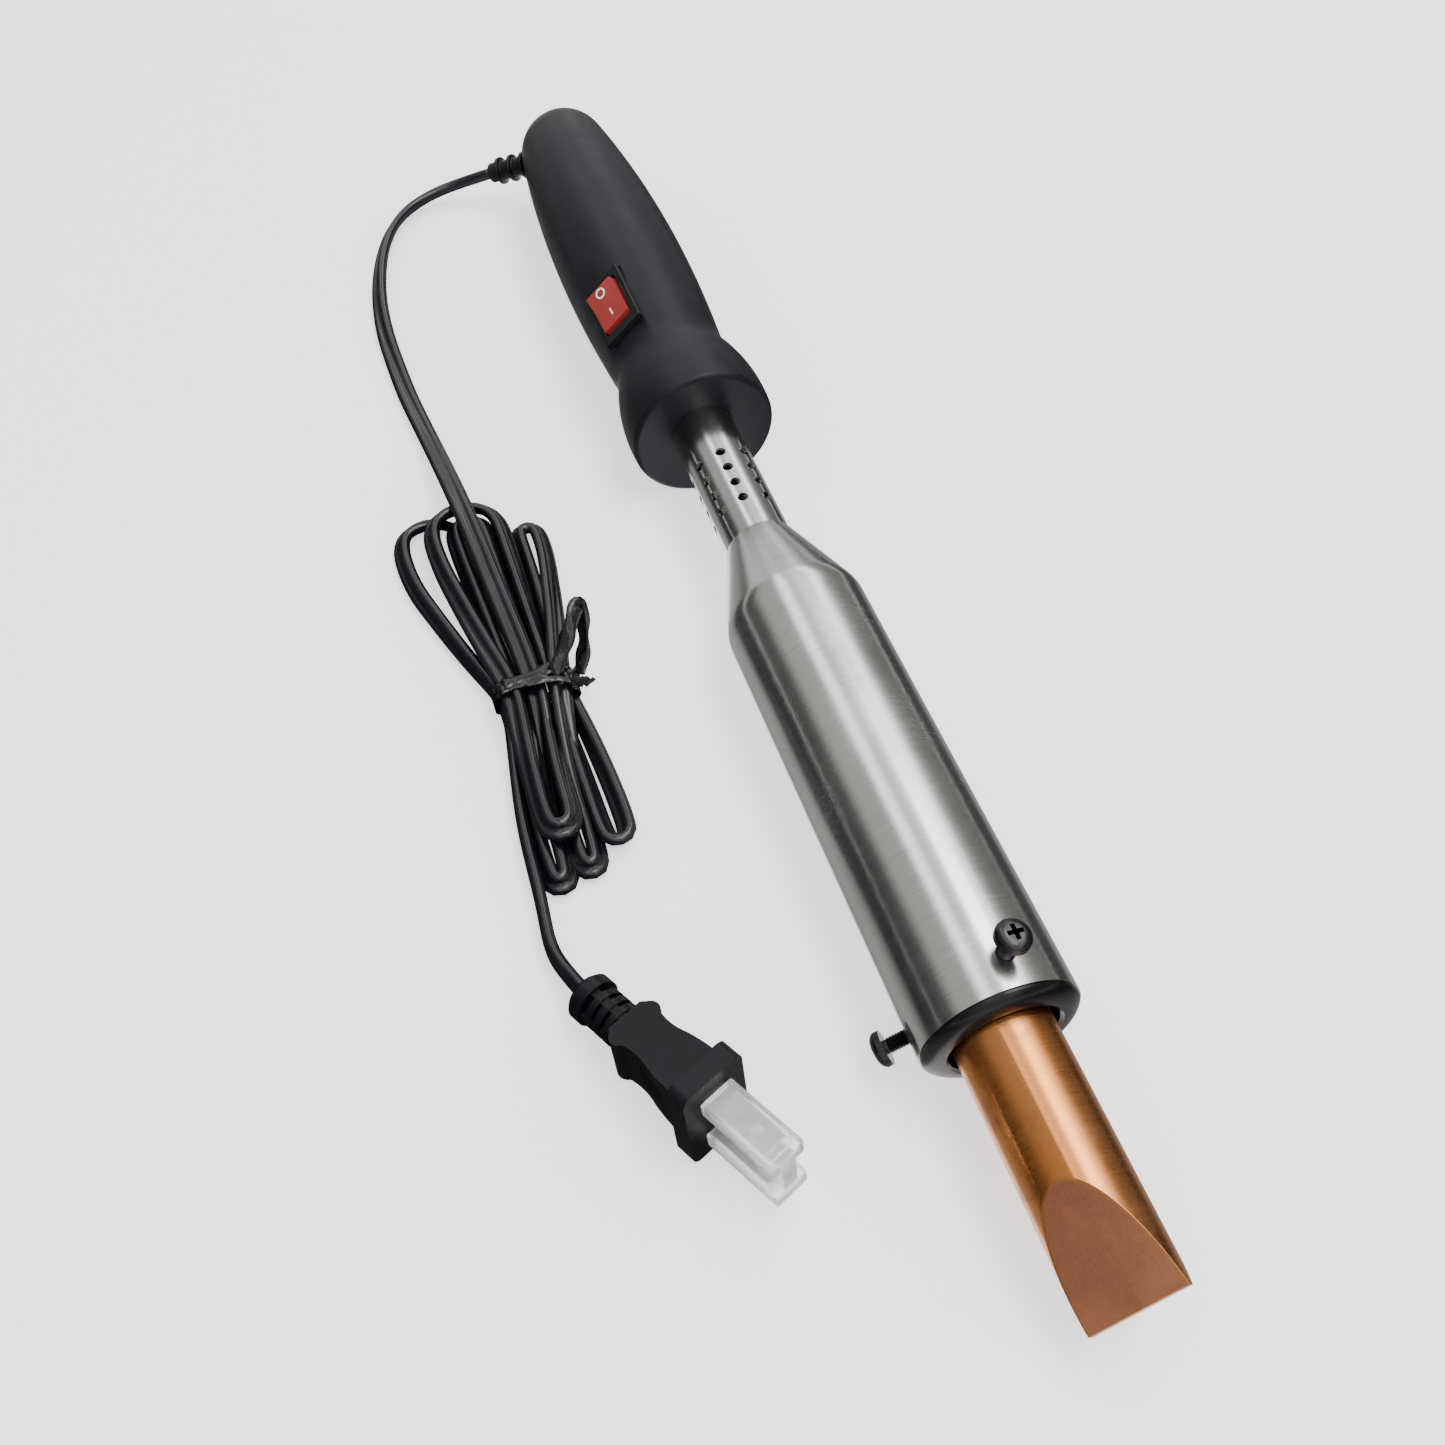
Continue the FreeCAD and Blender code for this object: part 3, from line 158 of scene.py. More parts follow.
def fold_points(start, fold, finish, steps, way):
    """Out along one side, round the fold and back along the other. way is +1 towards the tip."""
    end, out_y, back_y, height = fold
    leaving, arriving = slot_point(start)[1:], slot_point(finish)[1:]
    points = [(x, *between(leaving, (out_y, height, FOLD_ROLL), part)) for x, part in steps]
    radius = abs(out_y - back_y) / 2
    middle_x, middle_y = end - way * radius, (out_y + back_y) / 2
    side = math.copysign(1, out_y - back_y)
    reach = radius / math.cos(math.radians(FOLD_ANGLES[1]))
    for angle in FOLD_ANGLES:
        turn = math.radians(angle)
        points.append((middle_x + way * reach * math.cos(turn),
                       middle_y + side * reach * math.sin(turn), height, FOLD_ROLL))
    points += [(x, *between(arriving, (back_y, height, FOLD_ROLL), part))
               for x, part in reversed(steps)]
    return points


def cord_route():
    """All the route's points: lead, turns of the hank, tail."""
    route = list(LEAD)
    downs = [turn[0] for turn in TURNS] + [LAST_SLOT]
    for (down, lower, up, upper), after in zip(TURNS, downs[1:]):
        route.append(slot_point(down))
        route += fold_points(down, lower, up, LOWER_STEPS, 1)
        route.append(slot_point(up))
        route += fold_points(up, upper, after, UPPER_STEPS, -1)
    route.append(slot_point(LAST_SLOT))
    return route + TAIL


def spline_line(points, name, closed=False):
    """Points read along the smooth NURBS line whose control points these are, in metres."""
    curve = bpy.data.curves.new(name, "CURVE")
    curve.dimensions = "3D"
    spline = curve.splines.new("NURBS")
    spline.points.add(len(points) - 1)
    for place, point in zip(spline.points, points):
        place.co = (*(value * MM for value in point[:3]), 1.0)
    spline.order_u = 3
    spline.use_endpoint_u = not closed
    spline.use_cyclic_u = closed
    spline.resolution_u = 12
    holder = bpy.data.objects.new(name, curve)
    scene.collection.objects.link(holder)
    mesh = bpy.data.meshes.new_from_object(holder)
    line = np.array([vertex.co[:] for vertex in mesh.vertices])
    bpy.data.objects.remove(holder)
    return line


def along_route(line, values):
    """Values given at an order 3 spline's points, read at the points of its line."""
    spans = len(values) - 2
    peaks = np.clip(np.arange(len(values)) - 0.5, 0, spans)
    return np.interp(np.linspace(0, spans, len(line)), peaks, values)


def resample(line, step, *extras):
    """The same line with even steps, then the extras read at its points."""
    gaps = np.linalg.norm(np.diff(line, axis=0), axis=1)
    travelled = np.concatenate([[0.0], np.cumsum(gaps)])
    places = np.linspace(0.0, travelled[-1], max(int(travelled[-1] / step), 2) + 1)
    even = np.stack([np.interp(places, travelled, column) for column in line.T], axis=1)
    return (even, *(np.interp(places, travelled, extra) for extra in extras))


def smooth_values(values, width):
    """A running Gaussian mean, width in samples."""
    reach = int(width * 3)
    weights = np.exp(-0.5 * (np.arange(-reach, reach + 1) / width) ** 2)
    padded = np.pad(values, reach, mode="edge")
    return np.convolve(padded, weights / weights.sum(), mode="valid")


def smoothstep(values, low, high):
    """0 up to low, 1 from high on, with a smooth rise between."""
    part = np.clip((values - low) / (high - low), 0.0, 1.0)
    return part * part * (3 - 2 * part)


def new_object(name, verts, faces, smooth=True):
    """A mesh object in the scene from corners in metres."""
    mesh = bpy.data.meshes.new(name)
    mesh.from_pydata([tuple(vert) for vert in verts], [], faces)
    mesh.update()
    piece = bpy.data.objects.new(name, mesh)
    scene.collection.objects.link(piece)
    if smooth:
        mesh.shade_smooth()
    return piece


def swept(name, line, wide_axes, thin_axes, section, closed=False):
    """A tube: the section's (wide, thin) points carried along the line, ends capped."""
    rings = [line[i] + wide_axes[i] * (w * MM) + thin_axes[i] * (t * MM)
             for i in range(len(line)) for w, t in section]
    size = len(section)
    faces = []
    last = len(line) if closed else len(line) - 1
    for i in range(last):
        a, b = i * size, ((i + 1) % len(line)) * size
        faces += [(a + j, a + (j + 1) % size, b + (j + 1) % size, b + j) for j in range(size)]
    if not closed:
        faces += [tuple(reversed(range(size))), tuple(range((len(line) - 1) * size,
                                                            len(line) * size))]
    piece = new_object(name, rings, faces)
    normals_out(piece)
    return piece


def normals_out(piece):
    """Turns every face of a closed piece to look outwards."""
    work = bmesh.new()
    work.from_mesh(piece.data)
    bmesh.ops.recalc_face_normals(work, faces=work.faces)
    work.to_mesh(piece.data)
    work.free()


def tangents(line, closed=False):
    """The unit direction of the line at each of its points."""
    if closed:
        steps = np.roll(line, -1, axis=0) - np.roll(line, 1, axis=0)
    else:
        steps = np.gradient(line, axis=0)
    return steps / np.linalg.norm(steps, axis=1)[:, None]


def twin_section(wide, thick):
    """Outline of a flat twin cord: two round cores with a groove between, as (wide, thin)."""
    radius, groove = thick / 2, thick * GROOVE_PART
    offset = wide / 2 - radius
    arc = np.radians(np.linspace(-CORE_ARC, CORE_ARC, CORE_POINTS))
    half = [(offset + radius * math.cos(a), radius * math.sin(a)) for a in arc]
    other = [(-w, -t) for w, t in half]
    return half + [(0.0, groove)] + other + [(0.0, -groove)]


def make_cord():
    """The whole cord as one piece, and the line down its middle in metres."""
    route = cord_route()
    line = spline_line(route, "cord_line")
    line, roll = resample(line, RING_STEP * MM, along_route(line, [point[3] for point in route]))
    roll = np.radians(smooth_values(roll, ROLL_BLEND))
    half_height = CORD_WIDE / 2 * np.sin(roll) + CORD_THICK / 2 * np.cos(roll)
    settle = smoothstep(np.arange(len(line)) * RING_STEP, SETTLE_FROM, SETTLE_TO)
    line[:, 2] -= (CORD_WIDE / 2 - half_height) * MM * settle
    forward = tangents(line)
    flat = np.cross([0, 0, 1], forward)
    flat /= np.linalg.norm(flat, axis=1)[:, None]
    lift = np.cross(forward, flat)
    wide_axes = flat * np.cos(roll)[:, None] + lift * np.sin(roll)[:, None]
    thin_axes = np.cross(forward, wide_axes)
    piece = swept("mains_cord", line, wide_axes, thin_axes, twin_section(CORD_WIDE, CORD_THICK))
    return piece, line


cord_piece, cord_line = make_cord()
measured = float(np.linalg.norm(np.diff(cord_line, axis=0), axis=1).sum())
print(f"cord line {measured:.3f} m")
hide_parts("cord_lead", "cord_hank", "cord_tail")
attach(cord_piece, "iron")

# ---------------------------------------------------------------- pieces with their edges rounded

SHARP_ANGLE = 30
# The neck's tube is cut lengthwise every TUBE_TURN degrees and across every TUBE_STEP.
TUBE_TURN, TUBE_STEP, TUBE_NEAR = 4, 1.0, 0.06


def clean_copy(name):
    """A CAD node's shape in the row frame, its doubled points joined and its flats made whole."""
    source = nodes[name]
    mesh = bpy.data.meshes.new(name + "_mesh")
    mesh.from_pydata([source.matrix_world @ vertex.co for vertex in source.data.vertices], [],
                     [polygon.vertices[:] for polygon in source.data.polygons])
    work = bmesh.new()
    work.from_mesh(mesh)
    bmesh.ops.remove_doubles(work, verts=work.verts, dist=1e-6)
    bmesh.ops.dissolve_limit(work, angle_limit=math.radians(0.5), verts=work.verts,
                             edges=work.edges)
    return work, mesh


def stand_for(name, work, mesh, body, slot_name):
    """A piece from this shape that replaces the CAD node of that name."""
    work.to_mesh(mesh)
    work.free()
    mesh.shade_smooth()
    piece = bpy.data.objects.new(name + "_finished", mesh)
    scene.collection.objects.link(piece)
    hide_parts(name)
    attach(piece, body)
    return piece


def refined(name, body, slot_name, bevel, segments=2):
    """Stands for a CAD node: the same shape with its hard edges rounded by bevel millimetres."""
    piece = stand_for(name, *clean_copy(name), body, slot_name)
    edges = piece.modifiers.new("edges", "BEVEL")
    edges.width, edges.segments = bevel * MM, segments
    edges.limit_method, edges.angle_limit = "ANGLE", math.radians(SHARP_ANGLE)
    edges.harden_normals = True
    return piece


def fine_tube(name, body, slot_name):
    """Stands for a thin tube on the iron's axis: cut fine and set truly round."""
    work, mesh = clean_copy(name)
    work.transform(IRON.inverted())
    cuts = [((0, 0, 0), (0, math.cos(math.radians(a)), math.sin(math.radians(a))))
            for a in range(0, 180, TUBE_TURN)]
    ends = [vertex.co.x for vertex in work.verts]
    cuts += [((x, 0, 0), (1, 0, 0)) for x in np.arange(min(ends), max(ends), TUBE_STEP * MM)[1:]]
    for place, normal in cuts:
        bmesh.ops.bisect_plane(work, geom=[*work.verts, *work.edges, *work.faces],
                               plane_co=place, plane_no=normal, dist=1e-7)
    radii = [math.hypot(vertex.co.y, vertex.co.z) for vertex in work.verts]
    walls = (min(radii), max(radii))
    for vertex, radius in zip(work.verts, radii):
        for wall in walls:
            if abs(radius - wall) < TUBE_NEAR * MM:
                vertex.co.yz = vertex.co.yz * (wall / radius)
    work.transform(IRON)
    piece = stand_for(name, work, mesh, body, slot_name)
    mesh.set_sharp_from_angle(angle=math.radians(SHARP_ANGLE))
    return piece


plug_piece = refined("plug_body", "iron", "plug_pvc", 0.45)
boot_piece = refined("cord_boot", "iron", "black_rubber", 0.3)
bezel_piece = refined("switch_housing", "iron", "black_gloss", 0.35)
rocker_piece = refined("switch_rocker", "rocker", "red_plastic", 0.55, 3)
tip_piece = refined("copper_tip", "tip", "copper", 0.35)
cover_piece = refined("blade_cover", "cover", "milky_plastic", 0.8, 3)
ring_piece = refined("end_ring", "iron", "black_steel", 0.5)
neck_piece = fine_tube("neck_tube", "iron", "polished_stainless")

# ---------------------------------------------------------------- ribbed panel on the plug's side

PANEL_START, PANEL_END, PANEL_RIBS, PANEL_HALF = -18.5, -10.5, 9, 3.6
PROBE_REACH = 30
RIB_LINE = [(-0.18, -0.15), (0.18, -0.15), (0.18, 0.10), (0.0, 0.16), (-0.18, 0.10)]


def surface_tree(piece):
    """The piece's own faces, ready for rays in the row frame."""
    return BVHTree.FromPolygons([piece.matrix_world @ vertex.co for vertex in piece.data.vertices],
                                [polygon.vertices[:] for polygon in piece.data.polygons])


plug_tree = surface_tree(plug_piece)
plug_side = PLUG.col[1].to_3d()
rib_pieces = []
for number, x in enumerate(np.linspace(PANEL_START, PANEL_END, PANEL_RIBS), 1):
    points = [plug_tree.ray_cast(PLUG @ mm(x, -PROBE_REACH, z), plug_side)[0]
              for z in np.linspace(-PANEL_HALF, PANEL_HALF, 5)]
    line = np.array(points)
    out = np.tile(-np.array(plug_side), (len(line), 1))
    rib = swept(f"plug_rib_{number}", line, np.cross(tangents(line), out), out, RIB_LINE)
    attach(rib, "iron")
    rib_pieces.append(rib)

# ---------------------------------------------------------------- marks on the rocker

MARK_REACH = 3.9
MARK_RADIUS = 1.45
MARK_BAR = 1.4
MARK_RING_POINTS = 40
MARK_LINE = [(-0.28, -0.06), (0.28, -0.06), (0.28, 0.05), (-0.28, 0.05)]


def rocker_face(reach):
    """A frame lying on the rocker's outer face, reach along from its pivot."""
    above = PIVOT + ROCKER_ALONG * (reach * MM) + ROCKER_UP * (PROBE_REACH * MM)
    place, normal = surface_tree(rocker_piece).ray_cast(above, -ROCKER_UP)[:2]
    return basis(place, ROCKER_ALONG - normal * ROCKER_ALONG.dot(normal), normal)


def mark(name, face, points, closed):
    """A printed line on a face of the rocker through these points of the face's frame."""
    line = np.array([face @ mm(x, y, 0) for x, y in points])
    up = np.tile(np.array(face.col[2].to_3d()), (len(line), 1))
    piece = swept(name, line, np.cross(tangents(line, closed), up), up, MARK_LINE, closed)
    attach(piece, "rocker")
    return piece


MARK_RING = [(MARK_RADIUS * math.cos(a), MARK_RADIUS * math.sin(a))
             for a in np.linspace(0, math.tau, MARK_RING_POINTS, endpoint=False)]
mark_pieces = [
    mark("rocker_ring", rocker_face(-MARK_REACH), MARK_RING, True),
    mark("rocker_bar", rocker_face(MARK_REACH), [(-MARK_BAR, 0), (0, 0), (MARK_BAR, 0)], False)]

# ---------------------------------------------------------------- twist tie

# A wrap goes round the waist as a rounded box, TIE_SLACK outside the strands. Its creases, ripple
# and gather are (size, waves a turn). A ribbon's curl and gather are (size, radians from end to
# end), and the curl's size is in degrees.
TIE_POWER, TIE_SLACK, TIE_LOWEST = 0.62, 0.45, 0.7
WAIST_REACH = 2.0
CREASE_LONG, CREASE_SHORT = (0.28, 9), (0.18, 17)
WRAP_RIPPLE, WRAP_GATHER = (0.5, 3), (0.2, 5)
RIBBON_CURL, RIBBON_GATHER = (14, 19), (0.12, 31)
WRAP_STEP, RIBBON_STEP = 0.4, 0.5
WRAP_HALF, LOOP_HALF, END_HALF = 1.9, 2.0, 1.6
LOOP_TURN, END_TURN = 35, 60
# Each wrap: name, place along the hank, how far it slants, where its creases start.
TIE_WRAPS = [("tie_wrap_front", 21.6, 1.6, 0.4), ("tie_wrap_back", 18.8, -1.0, 2.1)]
around_waist = np.array([vertex.co[1:] for vertex in cord_piece.data.vertices
                         if abs(vertex.co.x / MM - WAIST_X) < WAIST_REACH]) / MM
TIE_MIDDLE = (around_waist.max(axis=0) + around_waist.min(axis=0)) / 2
TIE_REACH = (around_waist.max(axis=0) - around_waist.min(axis=0)) / 2 + TIE_SLACK
TIE_LOOP = [(20.5, -63.5, 11.2), (17.5, -60.0, 15.5), (12.5, -55.5, 21.5), (8.5, -53.0, 24.0),
            (8.0, -51.5, 22.0), (11.5, -52.5, 17.5), (16.0, -53.5, 13.5), (20.5, -56.5, 9.5)]
TIE_ENDS = [[(21.5, -60.5, 10.4), (19.5, -57.0, 9.8), (17.0, -54.0, 7.0)],
            [(22.5, -60.0, 10.2), (22.5, -56.5, 8.6), (21.0, -53.5, 5.6)]]


def strap_section(wide):
    """Flat ribbon with the wire showing as a ridge down its middle."""
    return [(-wide, -0.12), (-0.6, -0.2), (0.6, -0.2), (wide, -0.12), (wide, 0.12), (0.6, 0.25),
            (0.0, 0.55), (-0.6, 0.25), (-wide, 0.12)]


def tie_wrap(name, at_x, slope, phase):
    """One turn of the ribbon round the strands, creased and gathered as it was twisted."""
    angles = np.linspace(0, math.tau, 120, endpoint=False)
    crease = (CREASE_LONG[0] * np.sin(CREASE_LONG[1] * angles + phase)
              + CREASE_SHORT[0] * np.sin(CREASE_SHORT[1] * angles + 2 * phase))
    across, up = np.cos(angles), np.sin(angles)
    y = TIE_MIDDLE[0] + np.sign(across) * np.abs(across) ** TIE_POWER * (TIE_REACH[0] + crease)
    z = TIE_MIDDLE[1] + np.sign(up) * np.abs(up) ** TIE_POWER * (TIE_REACH[1] + 0.6 * crease)
    z = np.maximum(z, TIE_LOWEST)
    x = at_x + slope * across + WRAP_RIPPLE[0] * np.sin(WRAP_RIPPLE[1] * angles + phase)
    line = np.stack([x, y, z], axis=1) * MM
    line, = resample(np.vstack([line, line[:1]]), WRAP_STEP * MM)
    line = line[:-1]
    forward = tangents(line, True)
    wide = np.tile([1.0, 0.0, 0.0], (len(line), 1))
    wide -= forward * (wide * forward).sum(1)[:, None]
    wide /= np.linalg.norm(wide, axis=1)[:, None]
    size, waves = WRAP_GATHER
    gather = 1 - size + size * np.sin(np.linspace(0, math.tau * waves, len(line)) + phase)
    return swept(name, line, wide * gather[:, None], np.cross(wide, forward),
                 strap_section(WRAP_HALF), True)


def tie_ribbon(name, points, wide, turn):
    """A free run of the ribbon; turn is how far it twists along its length, in degrees."""
    line, = resample(spline_line(points, name + "_line"), RIBBON_STEP * MM)
    forward = tangents(line)
    side = np.cross(forward, CAMERA_BACK)
    side /= np.linalg.norm(side, axis=1)[:, None]
    other = np.cross(forward, side)
    part = np.linspace(0, 1, len(line))
    spin = np.radians(turn * part + RIBBON_CURL[0] * np.sin(part * RIBBON_CURL[1]))[:, None]
    axes = side * np.cos(spin) + other * np.sin(spin)
    axes *= (1 + RIBBON_GATHER[0] * np.sin(part * RIBBON_GATHER[1]))[:, None]
    return swept(name, line, axes, np.cross(forward, axes), strap_section(wide))


tie_pieces = [tie_wrap(*wrap) for wrap in TIE_WRAPS]
tie_pieces.append(tie_ribbon("tie_loop", TIE_LOOP, LOOP_HALF, LOOP_TURN))
for number, points in enumerate(TIE_ENDS, 1):
    tie_pieces.append(tie_ribbon(f"tie_end_{number}", points, END_HALF, END_TURN))
for piece in tie_pieces:
    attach(piece, "iron")
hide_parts("twist_tie")

# ---------------------------------------------------------------- materials

SOCKETS = {"base": "Base Color", "metallic": "Metallic", "rough": "Roughness", "ior": "IOR",
           "specular": "Specular IOR Level", "anisotropic": "Anisotropic",
           "transmission": "Transmission Weight"}


class Finish:
    """A procedural material: its shader, its nodes, and places on the piece in millimetres."""

    def __init__(self, name, frame_of=None, **sockets):
        self.material = bpy.data.materials.new(name)
        self.material.use_nodes = True
        self.tree = self.material.node_tree
        self.shader = self.tree.nodes["Principled BSDF"]
        for socket, value in sockets.items():
            self.shader.inputs[SOCKETS[socket]].default_value = value
        coordinates = self.add("ShaderNodeTexCoord").outputs["Object"]
        self.place = self.mapped(coordinates, frame_of or Matrix.Identity(4))

    def add(self, kind, **settings):
        """A new node of the material with these settings."""
        node = self.tree.nodes.new(kind)
        for setting, value in settings.items():
            setattr(node, setting, value)
        return node

    def link(self, source, target):
        """Leads an output into an input."""
        self.tree.links.new(source, target)

    def mapped(self, source, matrix):
        """Coordinates carried into another frame and turned into millimetres."""
        node = self.add("ShaderNodeMapping")
        node.inputs["Location"].default_value = matrix.to_translation() / MM
        node.inputs["Rotation"].default_value = matrix.to_euler()
        node.inputs["Scale"].default_value = (1 / MM,) * 3
        self.link(source, node.inputs["Vector"])
        return node.outputs["Vector"]

    def axes(self):
        """X, Y and Z of the place on the piece."""
        split = self.add("ShaderNodeSeparateXYZ")
        self.link(self.place, split.inputs["Vector"])
        return split.outputs

    def noise(self, scale, stretch=(1, 1, 1), detail=3, roughness=0.5):
        """Noise of that many cells a millimetre, stretched by stretch on each axis."""
        mapping = self.add("ShaderNodeMapping")
        mapping.inputs["Scale"].default_value = stretch
        self.link(self.place, mapping.inputs["Vector"])
        node = self.add("ShaderNodeTexNoise")
        node.inputs["Scale"].default_value = scale
        node.inputs["Detail"].default_value = detail
        node.inputs["Roughness"].default_value = roughness
        self.link(mapping.outputs["Vector"], node.inputs["Vector"])
        return node.outputs["Fac"]

    def spread(self, source, low, high, to_low=0.0, to_high=1.0):
        """Source between low and high, carried to to_low and to_high and held there."""
        node = self.add("ShaderNodeMapRange", interpolation_type="SMOOTHSTEP")
        for socket, value in (("From Min", low), ("From Max", high), ("To Min", to_low),
                              ("To Max", to_high)):
            node.inputs[socket].default_value = value
        self.link(source, node.inputs["Value"])
        return node.outputs["Result"]

    def math(self, operation, *values):
        """One operation on numbers and outputs."""
        node = self.add("ShaderNodeMath", operation=operation)
        for place, value in zip(node.inputs, values):
            if isinstance(value, (int, float)):
                place.default_value = value
            else:
                self.link(value, place)
        return node.outputs["Value"]

    def mix(self, factor, first, second):
        """A colour: first where factor is 0, second where it is 1."""
        node = self.add("ShaderNodeMix", data_type="RGBA")
        self.link(factor, node.inputs["Factor"])
        for place, colour in ((6, first), (7, second)):
            if isinstance(colour, tuple):
                node.inputs[place].default_value = (*colour, 1)
            else:
                self.link(colour, node.inputs[place])
        return node.outputs[2]

    def colour(self, source):
        """The surface's colour comes from this output."""
        self.link(source, self.shader.inputs["Base Color"])
        return self

    def roughness(self, source):
        """The surface's roughness comes from this output."""
        self.link(source, self.shader.inputs["Roughness"])
        return self

    def bump(self, height, depth):
        """Raises the surface by up to depth millimetres where height is 1."""
        node = self.add("ShaderNodeBump")
        node.inputs["Distance"].default_value = depth * MM
        node.inputs["Strength"].default_value = 1.0
        self.link(height, node.inputs["Height"])
        self.link(node.outputs["Normal"], self.shader.inputs["Normal"])
        return self

    def turned(self):
        """Long highlights lying along the axis, as on metal brushed round and round."""
        tangent = self.add("ShaderNodeTangent", direction_type="RADIAL", axis="X")
        self.link(tangent.outputs["Tangent"], self.shader.inputs["Tangent"])
        self.shader.inputs["Anisotropic Rotation"].default_value = 0.25
        return self


def paint(finish, *things):
    """Gives the finish to CAD nodes by name and to pieces."""
    for thing in things:
        piece = nodes[thing] if isinstance(thing, str) else thing
        piece.data.materials.clear()
        piece.data.materials.append(finish.material)


def in_iron(name):
    """From a CAD node's own coordinates to the iron's, which start at the rim of the barrel."""
    return IRON.inverted() @ nodes[name].matrix_world


def brushed_steel(name, node, colour, rough, line_depth):
    """Stainless steel with brush lines round the iron's axis and faint darker blotches."""
    steel = Finish(name, in_iron(node), metallic=1.0, anisotropic=0.55)
    lines = steel.noise(1.0, stretch=(5.0, 0.10, 0.10), detail=4, roughness=0.7)
    blotches = steel.noise(0.035)
    shade = steel.spread(steel.math("ADD", lines, steel.math("MULTIPLY", blotches, 0.6)), 0.5, 1.1)
    darker = tuple(0.82 * part for part in colour)
    steel.colour(steel.mix(shade, darker, colour))
    steel.roughness(steel.math("ADD", steel.spread(lines, 0.3, 0.7, rough - 0.03, rough + 0.03),
                               steel.spread(blotches, 0.45, 0.75, 0.0, 0.05)))
    return steel.bump(lines, line_depth).turned()


# The filed flats: how far under the rod's radius they are (full, none), and how far along the
# iron they start (none, full).
FLAT_BELOW, FLAT_ALONG = (0.45, 0.15), (30, 33)
COPPER_PALE, COPPER_WARM = (0.64, 0.26, 0.09), (0.70, 0.26, 0.065)
COPPER_PATINA = (0.40, 0.17, 0.08)
FILED_DARK, FILED_LIGHT = (0.36, 0.15, 0.075), (0.52, 0.22, 0.115)


def copper_look():
    """Turned copper rod, brighter and warmer; the ground flats are duller and filed."""
    copper = Finish("copper_worn", IRON.inverted(), metallic=1.0, anisotropic=0.3)
    rod = max((IRON.inverted() @ vertex.co).yz.length for vertex in tip_piece.data.vertices) / MM
    x, y, z = copper.axes()
    radius = copper.math("SQRT", copper.math("ADD", copper.math("MULTIPLY", y, y),
                                             copper.math("MULTIPLY", z, z)))
    inside = copper.spread(radius, *(rod - below for below in FLAT_BELOW), 1, 0)
    flat = copper.math("MULTIPLY", inside, copper.spread(x, *FLAT_ALONG, 0, 1))
    rings = copper.noise(1.0, stretch=(2.4, 0.08, 0.08), detail=4, roughness=0.7)
    scratches = copper.noise(1.0, stretch=(0.10, 1.6, 1.6), detail=5, roughness=0.75)
    stains = copper.noise(0.10, stretch=(0.7, 1, 1), detail=5, roughness=0.65)
    patina = copper.spread(stains, 0.52, 0.72)
    heat = copper.spread(copper.noise(0.06, stretch=(0.4, 1, 1), detail=2), 0.4, 0.7)
    body = copper.mix(heat, COPPER_PALE, COPPER_WARM)
    body = copper.mix(copper.math("MULTIPLY", patina, 0.75), body, COPPER_PATINA)
    filed = copper.mix(scratches, FILED_DARK, FILED_LIGHT)
    copper.colour(copper.mix(flat, body, filed))
    marks = copper.math("ADD", copper.math("MULTIPLY", rings, 0.5),
                        copper.math("MULTIPLY", copper.math("MULTIPLY", scratches, flat), 0.9))
    dull = copper.math("ADD", copper.spread(rings, 0.3, 0.7, 0.25, 0.34),
                       copper.math("MULTIPLY", patina, 0.16))
    copper.roughness(copper.math("ADD", dull, copper.math("MULTIPLY", flat, 0.24)))
    return copper.bump(marks, 0.035).turned()


def moulded(name, base, rough, grain=4.0, depth=0.02, wear=0.08, **sockets):
    """Moulded plastic or rubber: fine grain, and handling marks that change its gloss."""
    plastic = Finish(name, base=(*base, 1), **sockets)
    fine = plastic.noise(grain)
    rub = plastic.noise(0.06, detail=4, roughness=0.6)
    lighter = tuple(part * 1.35 + 0.002 for part in base)
    plastic.colour(plastic.mix(plastic.spread(rub, 0.40, 0.75), base, lighter))
    plastic.roughness(plastic.spread(rub, 0.35, 0.7, rough - wear / 2, rough + wear / 2))
    return plastic.bump(fine, depth)


def plain_metal(name, colour, rough, tarnish, grain=(1, 1, 1)):
    """A small metal part: some tarnish, fine grain and an uneven gloss."""
    metal = Finish(name, metallic=1.0)
    stain = metal.noise(0.35, detail=4, roughness=0.6)
    fine = metal.noise(3.0, grain)
    metal.colour(metal.mix(metal.spread(stain, 0.45, 0.75), colour, tarnish))
    metal.roughness(metal.spread(fine, 0.3, 0.7, rough - 0.06, rough + 0.06))
    return metal.bump(fine, 0.01)


def mineral(name, light, dark, rough, scale, depth, stretch=(1, 1, 1)):
    """Fibre, ceramic or mica: flecked, rough and matt."""
    matter = Finish(name)
    flecks = matter.noise(scale, stretch, detail=6, roughness=0.7)
    matter.colour(matter.mix(matter.spread(flecks, 0.35, 0.7), dark, light))
    matter.roughness(matter.spread(flecks, 0.3, 0.7, rough, rough - 0.1))
    return matter.bump(flecks, depth)


paint(brushed_steel("steel_brushed", "barrel_shell", (0.68, 0.66, 0.62), 0.22, 0.0008),
      "barrel_shell")
paint(brushed_steel("steel_polished", "neck_tube", (0.64, 0.62, 0.59), 0.16, 0.002), neck_piece)
paint(copper_look(), tip_piece)
paint(moulded("soft_touch_black", (0.0050, 0.0062, 0.0105), 0.46, 5.0, 0.018, 0.10,
              specular=0.22), "handle_shell")
paint(moulded("ring_black", (0.004, 0.004, 0.0045), 0.26, 2.0, 0.004, specular=0.28), ring_piece)
paint(plain_metal("screw_black", (0.045, 0.045, 0.048), 0.30, (0.09, 0.085, 0.08)),
      "clamp_screw_upper", "clamp_screw_side", "clamp_screw_lower", "neck_screw")
paint(moulded("switch_black", (0.008, 0.008, 0.009), 0.16, 3.0, 0.004, 0.06), bezel_piece)
paint(moulded("switch_red", (0.27, 0.022, 0.018), 0.34, 3.0, 0.006, 0.08), rocker_piece)
paint(moulded("mark_white", (0.82, 0.80, 0.78), 0.45), *mark_pieces)
